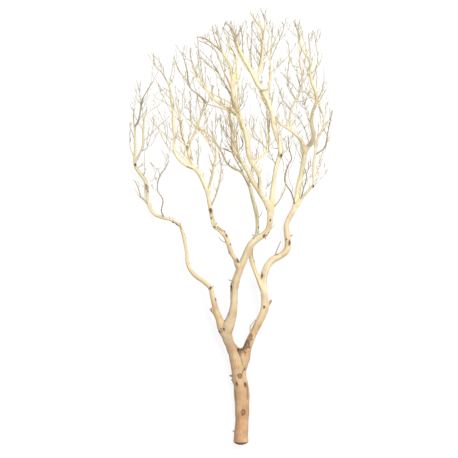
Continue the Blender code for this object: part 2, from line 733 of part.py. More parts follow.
def keep_largest(branch):
    """Drops loose scraps, and the walls of any hollow that the joining sealed."""
    shape = bmesh.new()
    shape.from_mesh(branch.data)
    left = set(shape.verts)
    bodies = []
    while left:
        spots = [left.pop()]
        body = set(spots)
        while spots:
            spot = spots.pop()
            near = {link.other_vert(spot) for link in spot.link_edges} - body
            body |= near
            spots += near
        left -= body
        bodies.append(body)
    bodies.sort(key=len)
    scraps = [spot for body in bodies[:-1] for spot in body]
    bmesh.ops.delete(shape, geom=scraps, context="VERTS")
    bmesh.ops.triangulate(shape, faces=shape.faces)
    shape.to_mesh(branch.data)
    shape.free()


def build_branch():
    trunk, *others = limb_tubes() + twig_tubes()
    bpy.context.scene.collection.objects.link(trunk)
    join(trunk, others)
    trunk.location = (-ORIGIN[0] * UNIT, -ORIGIN[1] * UNIT, 0.0)
    cut_flats(trunk)
    keep_largest(trunk)
    trunk.name = trunk.data.name = "branch"
    trunk.data.materials.clear()
    trunk.data.materials.append(wood_material())
    trunk.data.shade_smooth()
    trunk.data.set_sharp_from_angle(angle=SHARP_EDGE)


clear_scene()
build_branch()
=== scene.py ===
import math
import random

import bpy
import numpy as np
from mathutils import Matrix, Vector, noise
from mathutils.bvhtree import BVHTree
from mathutils.kdtree import KDTree


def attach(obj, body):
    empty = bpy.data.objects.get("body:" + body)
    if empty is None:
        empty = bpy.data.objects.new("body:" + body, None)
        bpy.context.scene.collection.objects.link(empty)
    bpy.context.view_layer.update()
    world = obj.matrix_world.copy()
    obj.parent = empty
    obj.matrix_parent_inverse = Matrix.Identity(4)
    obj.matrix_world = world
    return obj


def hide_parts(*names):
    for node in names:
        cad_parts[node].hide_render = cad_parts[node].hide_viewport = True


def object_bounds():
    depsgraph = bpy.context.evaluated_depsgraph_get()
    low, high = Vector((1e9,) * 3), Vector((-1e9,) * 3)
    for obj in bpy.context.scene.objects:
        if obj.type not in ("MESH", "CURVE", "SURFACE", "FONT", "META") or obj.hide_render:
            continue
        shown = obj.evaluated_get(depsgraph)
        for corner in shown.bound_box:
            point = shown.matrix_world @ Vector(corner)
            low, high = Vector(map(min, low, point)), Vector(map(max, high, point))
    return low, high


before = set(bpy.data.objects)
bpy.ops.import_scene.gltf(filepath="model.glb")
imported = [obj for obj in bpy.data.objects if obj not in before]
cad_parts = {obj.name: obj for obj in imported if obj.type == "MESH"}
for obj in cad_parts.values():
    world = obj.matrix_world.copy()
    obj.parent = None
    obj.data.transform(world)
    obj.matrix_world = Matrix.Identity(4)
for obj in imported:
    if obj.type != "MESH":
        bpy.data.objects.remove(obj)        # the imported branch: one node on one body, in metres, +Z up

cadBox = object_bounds()     # every piece stays inside this box

# Routes are in mm: x across, y along from the butt, z above the surface
mm = 0.001
middleOfRoutes = np.array((-35.0, 750.0, 0.0))   # this place is the frame's origin
zUp = Vector((0.0, 0.0, 1.0))
goldenAngle = math.radians(137.5)
oneTurn = 6.28           # radians

# Each limb: the limb it grows from, how many first twigs it carries, its thicknesses,
# evenly spaced from root to tip, and its route. carriesOn prolongs its root in one sweep,
# and blunt is broken off square. The solid was made from the same ones.
limbs = {
    "trunk": {"root": None, "twigs": 0,
        "thick": (48, 45.5, 45, 45.5, 47, 52, 50, 48.5, 52),
        "route": ((0, 0, 22.3), (0, 34, 21.3), (3, 89, 21.8), (3, 140, 23), (1, 192, 25.4),
            (-6, 240, 28.6), (-9, 274, 31.8))},
    "leftFork": {"root": "trunk", "twigs": 0, "carriesOn": True,
        "thick": (52, 47, 35, 32.5, 35.5, 40, 41),
        "route": ((-16, 303, 35), (-27, 327, 38), (-38, 348, 41), (-46, 370, 44), (-49, 392, 48))},
    "middleLimb": {"root": "leftFork", "twigs": 0, "carriesOn": True,
        "thick": (41, 33.5, 30.5, 28, 26.5, 27, 28.5, 25.5, 25, 25),
        "route": ((-41, 416, 56), (-31, 445, 66), (-24, 483, 80), (-23, 521, 91), (-20, 551, 99),
            (-12, 582, 107), (-1, 614, 114))},
    "upperMiddleLimb": {"root": "middleLimb", "twigs": 1, "carriesOn": True,
        "thick": (25, 24, 23, 23, 21.5, 20.5, 19, 19, 20.5, 24),
        "route": ((10, 638, 121), (21, 664, 130), (34, 690, 137), (55, 710, 144), (81, 727, 151),
            (96, 750, 159), (100, 783, 168), (103, 815, 175))},
    "rightCrownLimb": {"root": "upperMiddleLimb", "twigs": 6, "carriesOn": True,
        "thick": (22.5, 17.5, 15.5, 14.5, 14.5, 15, 17.5, 14, 13, 13.5, 15.5, 15.5, 15.5, 15.5, 16.5),
        "route": ((107, 846, 179), (109, 880, 182), (115, 925, 187), (123, 966, 193), (134, 1000, 199),
            (132, 1028, 203), (121, 1062, 208), (112, 1096, 213), (107, 1134, 218), (95, 1168, 224),
            (82, 1200, 230))},
    "highMiddleLimb": {"root": "rightCrownLimb", "twigs": 8, "carriesOn": True,
        "thick": (16.5, 15.5, 14, 12.5, 11, 10, 8.5, 7, 5.5, 3.5),
        "route": ((71, 1221, 234), (56, 1240, 239), (45, 1264, 244), (29, 1293, 251), (12, 1322, 257),
            (-5, 1354, 264), (-17, 1382, 270), (-29, 1413, 275), (-40, 1438, 279), (-48, 1447, 281))},
    "farLeftLimb": {"root": "leftFork", "twigs": 5,
        "thick": (31.5, 24.5, 22.5, 19, 17, 15, 13.5, 13, 12, 11.5, 10.5, 11, 12, 11, 12, 13, 13, 11, 9.5,
            9, 8.5),
        "route": ((-48, 377, 46), (-65, 408, 50), (-77, 442, 54), (-88, 476, 57), (-97, 510, 56),
            (-105, 541, 53), (-127, 562, 49), (-154, 581, 44), (-175, 605, 40), (-184, 630, 39),
            (-186, 661, 43), (-192, 695, 49), (-200, 730, 54), (-211, 757, 54), (-236, 773, 49),
            (-271, 783, 38), (-295, 793, 28), (-312, 815, 17), (-321, 839, 8), (-322, 861, 5.2),
            (-323, 887, 5.2), (-328, 908, 10), (-339, 925, 18), (-359, 952, 33), (-365, 980, 44),
            (-363, 1021, 54), (-364, 1062, 62), (-364, 1099, 70))},
    "rightLimb": {"root": "trunk", "twigs": 0,
        "thick": (32, 30.5, 28.5, 27, 26.5, 25, 26, 25, 24.5, 24, 21.5, 21, 22.5, 23, 23, 22.5, 21, 18.5,
            18.5, 19),
        "route": ((1, 264, 31), (16, 319, 36), (31, 360, 42), (48, 397, 46), (67, 435, 50), (81, 468, 55),
            (82, 500, 59), (79, 538, 62), (79, 579, 61), (89, 613, 57), (108, 637, 51), (134, 651, 45),
            (156, 670, 40), (161, 695, 37), (158, 726, 36), (155, 754, 38), (166, 783, 41),
            (180, 807, 40))},
    "rightUpperLimb": {"root": "rightLimb", "twigs": 2, "carriesOn": True,
        "thick": (19, 19.5, 18, 17.5, 16.5, 15.5, 15.5, 17),
        "route": ((190, 837, 36), (196, 873, 29), (201, 901, 22), (208, 932, 14), (213, 962, 7.4),
            (217, 985, 6.6), (220, 1006, 6.8))},
    "rightCrownArm": {"root": "rightUpperLimb", "twigs": 9, "carriesOn": True,
        "thick": (17, 15.5, 15.5, 14, 12, 10.5, 11.5, 14, 13, 12, 12.5, 11.5, 10, 8.5, 7.5, 6, 4.5),
        "route": ((229, 1025, 12), (242, 1040, 23), (249, 1069, 40), (242, 1106, 57), (246, 1144, 75),
            (258, 1178, 92), (256, 1214, 108), (242, 1250, 122), (238, 1288, 136), (234, 1319, 147),
            (210, 1361, 159), (198, 1396, 168), (192, 1432, 178), (183, 1460, 185))},
    "farRightLimb": {"root": "rightLimb", "twigs": 5,
        "thick": (14, 10, 9.5, 10, 9.5, 8.5, 8.5, 8, 6.5, 5.5, 5),
        "route": ((187, 819, 39), (209, 848, 48), (233, 877, 66), (249, 896, 78), (249, 932, 90),
            (249, 973, 102), (256, 1010, 112), (255, 1038, 120), (269, 1065, 130), (282, 1093, 138),
            (282, 1127, 148), (269, 1168, 158))},
    "upperLeftLimb": {"root": "middleLimb", "twigs": 1,
        "thick": (19.5, 15.5, 15, 15, 16.5, 17, 15.5, 15, 14.5, 14, 14, 14.5),
        "route": ((-3, 603, 111), (-18, 637, 120), (-34, 664, 130), (-43, 692, 139), (-54, 719, 149),
            (-73, 740, 158), (-91, 754, 164), (-99, 784, 172), (-105, 815, 181), (-111, 849, 190))},
    "leftCrownLimb": {"root": "upperLeftLimb", "twigs": 9, "carriesOn": True,
        "thick": (14.5, 15, 14, 13, 11, 9.5, 9, 10, 11.5, 11.5, 10, 9.5, 8.5, 7.5, 6, 4.5, 3.5),
        "route": ((-118, 877, 196), (-129, 904, 202), (-144, 932, 208), (-159, 949, 213),
            (-185, 960, 219), (-206, 976, 223), (-224, 1000, 227), (-229, 1028, 232), (-228, 1069, 237),
            (-232, 1110, 242), (-232, 1151, 246), (-240, 1192, 252), (-245, 1230, 256), (-260, 1260, 258),
            (-274, 1281, 260), (-289, 1295, 262), (-298, 1325, 265), (-300, 1346, 266))},
    "leftCrownArm": {"root": "leftCrownLimb", "twigs": 7,
        "thick": (13.5, 11.5, 10, 8.5, 7.5, 6.5, 5.5),
        "route": ((-152, 941, 211), (-170, 974, 203), (-180, 1004, 193), (-185, 1028, 187),
            (-197, 1055, 184), (-206, 1093, 182), (-211, 1137, 184), (-223, 1175, 188))},
    "leftCrownSpur": {"root": "leftCrownArm", "twigs": 5,
        "thick": (9.5, 8, 7.5, 6.5, 6.5, 6.5),
        "route": ((-183, 1017, 190), (-169, 1051, 180), (-153, 1086, 175), (-140, 1123, 171),
            (-127, 1164, 168))},
    "highLeftTwig": {"root": "leftCrownSpur", "twigs": 3, "carriesOn": True,
        "thick": (6.5, 6.5, 5.5, 4.5, 3.5, 2.5),
        "route": ((-128, 1187, 169), (-145, 1202, 173), (-171, 1223, 178), (-184, 1252, 186),
            (-212, 1284, 195), (-224, 1312, 202), (-229, 1336, 207))},
    "highLeftProng": {"root": "highLeftTwig", "twigs": 1,
        "thick": (5.5, 5.5, 4.5, 3.5, 2.5),
        "route": ((-175, 1226, 179), (-182, 1257, 190), (-185, 1288, 202), (-193, 1315, 212),
            (-199, 1336, 218), (-214, 1358, 224), (-225, 1375, 228))},
    "innerLeftLimb": {"root": "upperLeftLimb", "twigs": 5,
        "thick": (11, 8, 7.5, 7, 6.5, 5.5, 4.5, 3.5),
        "route": ((-112, 856, 191), (-107, 897, 209), (-98, 928, 225), (-93, 959, 240), (-86, 990, 252),
            (-92, 1017, 261), (-113, 1041, 269), (-130, 1065, 275), (-140, 1093, 281))},
    "lowerMiddleLimb": {"root": "rightLimb", "twigs": 2,
        "thick": (18.5, 15, 15, 16.5, 15, 13.5, 13.5, 13, 14, 14, 13, 11, 8),
        "route": ((77, 534, 62), (64, 565, 60), (50, 596, 58), (38, 630, 60), (34, 664, 66),
            (42, 699, 76), (55, 730, 85), (56, 771, 95), (51, 805, 104), (40, 849, 113), (29, 890, 123),
            (12, 925, 132), (-3, 941, 137))},
    "lowCrownLimb": {"root": "lowerMiddleLimb", "twigs": 8, "carriesOn": True,
        "thick": (8, 6, 6, 7.5, 7.5, 6.5, 6, 5, 3.5),
        "route": ((-24, 950, 142), (-48, 969, 148), (-64, 1001, 154), (-87, 1038, 160), (-115, 1071, 165),
            (-149, 1091, 169), (-182, 1121, 173))},
    "brownCrownLimb": {"root": "upperMiddleLimb", "twigs": 10,
        "thick": (20.5, 17, 17, 17.5, 18.5, 17, 16.5, 15, 13.5, 12, 11, 8.5),
        "route": ((103, 798, 171), (90, 829, 183), (72, 856, 193), (53, 887, 203), (36, 914, 211),
            (21, 944, 220), (3, 973, 229), (-16, 1000, 236), (-28, 1028, 242), (-30, 1075, 250),
            (-38, 1120, 258), (-45, 1158, 265))},
    "tallCrownLimb": {"root": "brownCrownLimb", "twigs": 9,
        "thick": (12, 11.5, 11.5, 13, 15.5, 17.5, 17, 17, 17.5, 18.5, 17, 15.5, 15, 13.5, 11.5, 9.5, 8),
        "route": ((73, 849, 192), (65, 887, 207), (63, 918, 218), (51, 949, 230), (34, 976, 239),
            (25, 1007, 247), (21, 1045, 256), (13, 1082, 264), (-2, 1120, 272), (-14, 1158, 278),
            (-25, 1195, 284), (-28, 1233, 289), (-29, 1271, 294), (-39, 1305, 299), (-53, 1332, 303),
            (-66, 1349, 306))},
    "tallTwig": {"root": "tallCrownLimb", "twigs": 1, "carriesOn": True,
        "thick": (8, 6.5, 6, 4.5, 3.5),
        "route": ((-82, 1364, 310), (-110, 1386, 313), (-134, 1396, 315), (-154, 1399, 316))},
    "tallProng": {"root": "tallCrownLimb", "twigs": 2,
        "thick": (7.5, 6, 5, 3.5),
        "route": ((-63, 1344, 305), (-70, 1370, 316), (-79, 1399, 326), (-84, 1425, 333),
            (-89, 1443, 337))},
    "paleCrownLimb": {"root": "tallCrownLimb", "twigs": 9,
        "thick": (15, 13, 11.5, 10, 8.5, 7.5, 6, 4.5, 2.5),
        "route": ((-6, 1130, 274), (-31, 1153, 268), (-65, 1169, 258), (-96, 1190, 250),
            (-120, 1224, 244), (-138, 1255, 240), (-160, 1286, 236), (-170, 1322, 233),
            (-176, 1353, 231))},
    "rustTwig": {"root": "tallCrownLimb", "twigs": 2,
        "thick": (7.5, 6.5, 6, 5, 3.5, 2.5),
        "route": ((-27, 1212, 286), (-45, 1251, 296), (-62, 1288, 305), (-75, 1325, 313),
            (-87, 1351, 318), (-114, 1372, 322), (-144, 1385, 324))},
    "leftSpray": {"root": "tallCrownLimb", "twigs": 3,
        "thick": (7, 6, 5, 3.5, 2.5),
        "route": ((-25, 1188, 283), (-47, 1224, 276), (-68, 1259, 268), (-89, 1295, 262),
            (-103, 1319, 258))},
    "middleProng": {"root": "tallCrownLimb", "twigs": 3,
        "thick": (9.5, 8.5, 7, 6, 4.5, 2.5),
        "route": ((-27, 1247, 290), (-17, 1286, 282), (-17, 1319, 276), (-24, 1346, 271),
            (-39, 1367, 268), (-45, 1392, 266))},
    "sideCrownLimb": {"root": "tallCrownLimb", "twigs": 6,
        "thick": (9.5, 8, 7.5, 6.5, 6, 5, 3.5),
        "route": ((39, 966, 236), (60, 984, 228), (84, 1002, 220), (92, 1028, 213), (95, 1069, 206),
            (92, 1106, 201), (87, 1144, 197))},
    "highTopLimb": {"root": "highMiddleLimb", "twigs": 6,
        "thick": (11, 10, 11, 9.5, 8, 6.5, 5, 3.5),
        "route": ((48, 1256, 243), (64, 1284, 239), (71, 1319, 236), (75, 1356, 232), (75, 1394, 229),
            (71, 1426, 227), (53, 1450, 225), (39, 1471, 224), (31, 1486, 223))},
    "topTwig": {"root": "highTopLimb", "twigs": 0,
        "thick": (6, 5.5, 4.5, 3),
        "route": ((75, 1384, 230), (79, 1425, 238), (81, 1459, 244), (83, 1483, 248), (87, 1500, 250))},
    "topForkTwig": {"root": "topTwig", "twigs": 0,
        "thick": (3.5, 3, 2),
        "route": ((81, 1456, 243), (73, 1480, 249), (64, 1499, 254))},
    "highRightLimb": {"root": "rightCrownLimb", "twigs": 5,
        "thick": (9.5, 7.5, 6.5, 6, 5, 3.5),
        "route": ((80, 1206, 230), (95, 1226, 221), (101, 1260, 211), (99, 1302, 202), (101, 1346, 193),
            (106, 1387, 186), (108, 1421, 181))},
    "topRightTwig": {"root": "highRightLimb", "twigs": 0,
        "thick": (4.5, 4, 3.5, 2.5),
        "route": ((101, 1322, 197), (121, 1370, 208), (140, 1411, 218), (149, 1442, 224),
            (155, 1469, 229))},
    "highCrownTwig": {"root": "highMiddleLimb", "twigs": 1,
        "thick": (5.5, 4.5, 3.5, 2.5),
        "route": ((9, 1325, 258), (5, 1360, 264), (5, 1391, 270), (0, 1421, 275), (-3, 1441, 278))},
    "innerCrownTwig": {"root": "highMiddleLimb", "twigs": 1,
        "thick": (5.5, 4.5, 3.5, 2.5),
        "route": ((36, 1281, 249), (34, 1322, 243), (33, 1360, 238), (36, 1394, 234), (36, 1430, 231))},
    "archingLimb": {"root": "rightUpperLimb", "twigs": 7,
        "thick": (15, 13, 11.5, 10, 9.5, 8.5, 7.5, 6, 4.5),
        "route": ((221, 1004, 8), (207, 1045, 27), (183, 1073, 47), (153, 1093, 68), (125, 1114, 92),
            (103, 1144, 112), (82, 1175, 130), (68, 1212, 148), (62, 1254, 162))},
    "innerRightLimb": {"root": "archingLimb", "twigs": 8,
        "thick": (9, 8, 7.5, 7.5, 6.5, 5.5, 4.5, 3.5),
        "route": ((171, 1079, 54), (167, 1118, 72), (176, 1163, 91), (195, 1197, 107), (209, 1233, 123),
            (208, 1274, 140), (202, 1315, 155), (201, 1363, 170))},
    "rightTopProng": {"root": "rightCrownArm", "twigs": 2,
        "thick": (5, 4.5, 3.5, 2.5),
        "route": ((240, 1240, 119), (256, 1288, 134), (263, 1336, 146), (256, 1380, 156),
            (265, 1432, 166))},
    "rightOuterProng": {"root": "rightCrownArm", "twigs": 1,
        "thick": (4.5, 3.5, 2.5),
        "route": ((258, 1182, 94), (275, 1212, 108), (284, 1247, 120), (284, 1278, 130))},
    "outerRightTwig": {"root": "farRightLimb", "twigs": 2,
        "thick": (5.5, 4.5, 4, 3.5),
        "route": ((256, 1000, 108), (274, 1011, 116), (289, 1025, 124), (295, 1058, 136),
            (303, 1103, 150), (313, 1151, 164))},
    "leftSecondLimb": {"root": "farLeftLimb", "twigs": 4,
        "thick": (8, 8, 8, 7.5, 6, 4.5),
        "route": ((-364, 973, 42), (-348, 1001, 56), (-336, 1031, 70), (-335, 1079, 86),
            (-331, 1123, 100), (-323, 1149, 108))},
    "leftTip": {"root": "farLeftLimb", "twigs": 4,
        "thick": (8, 6.5, 5.5, 4, 2.5),
        "route": ((-364, 1093, 69), (-351, 1119, 78), (-343, 1158, 90), (-334, 1195, 102),
            (-316, 1226, 112), (-303, 1248, 118))},
    "leftOuterTip": {"root": "farLeftLimb", "twigs": 1,
        "thick": (6, 4.5, 3.5, 2.5),
        "route": ((-364, 1082, 66), (-369, 1120, 60), (-369, 1151, 56), (-377, 1162, 54))},
    "greyTwig": {"root": "farLeftLimb", "twigs": 1,
        "thick": (4.5, 4, 3.5, 3.5, 3, 2.5),
        "route": ((-264, 781, 40), (-273, 806, 52), (-268, 843, 70), (-287, 880, 90), (-278, 926, 110),
            (-260, 950, 124), (-248, 976, 136))},
    "leftSprig": {"root": "farLeftLimb", "twigs": 0,
        "thick": (5.5, 4.5, 3.5, 2.5),
        "route": ((-321, 832, 12), (-341, 851, 24), (-351, 878, 36), (-362, 908, 48))},
    "forkedTwig": {"root": "upperLeftLimb", "twigs": 2,
        "thick": (6, 5, 4.5, 4, 3.5, 2.5),
        "route": ((-106, 819, 182), (-89, 851, 198), (-77, 889, 216), (-70, 925, 230), (-68, 962, 242),
            (-75, 1004, 254))},
    "darkTwig": {"root": "rightLimb", "twigs": 2,
        "thick": (5, 4.5, 4, 3.5, 3.5, 3, 2.5),
        "route": ((186, 822, 40), (173, 867, 58), (150, 909, 80), (161, 959, 104), (173, 984, 116),
            (164, 1024, 132), (161, 1065, 146))},
    "crossingTwig": {"root": "rightCrownLimb", "twigs": 0,
        "thick": (4.5, 3.5, 2.5),
        "route": ((106, 812, 176), (132, 843, 186), (153, 884, 198))},
    "rightInnerTwig": {"root": "farRightLimb", "twigs": 1,
        "thick": (5, 4, 3.5, 2.5),
        "route": ((206, 843, 47), (214, 880, 66), (225, 918, 84), (219, 952, 98))},
    "upperLeftSprig": {"root": "upperLeftLimb", "twigs": 0,
        "thick": (4.5, 3, 2),
        "route": ((-46, 695, 140), (-66, 703, 150), (-77, 718, 158))},
    "rightSprig": {"root": "rightLimb", "twigs": 0,
        "thick": (4.5, 3.5, 2.5),
        "route": ((113, 642, 50), (125, 675, 64), (137, 703, 78))},
    "lowRightSprig": {"root": "rightLimb", "twigs": 0,
        "thick": (4.5, 3.5, 2.5),
        "route": ((38, 373, 43), (32, 408, 56), (54, 436, 68))},
    "forkStub": {"root": "leftFork", "twigs": 0, "blunt": True,
        "thick": (21, 16.5, 14),
        "route": ((-60, 401, 49), (-86, 450, 54), (-103, 472, 56))},
    "crotchStub": {"root": "trunk", "twigs": 0, "blunt": True,
        "thick": (21.5, 15, 11.5),
        "route": ((-2, 274, 36), (-1, 308, 50), (-3, 329, 58))},
    "leftStub": {"root": "leftFork", "twigs": 0, "blunt": True,
        "thick": (11.5, 9.5, 8),
        "route": ((-50, 377, 46), (-66, 387, 44), (-76, 393, 43))},
    "rightStub": {"root": "rightLimb", "twigs": 0, "blunt": True,
        "thick": (11.5, 8.5, 7.5),
        "route": ((84, 480, 56), (97, 488, 60), (105, 500, 64))},
    "elbowStub": {"root": "farLeftLimb", "twigs": 0, "blunt": True,
        "thick": (8, 6, 5.5),
        "route": ((-104, 536, 54), (-93, 549, 60))},
}

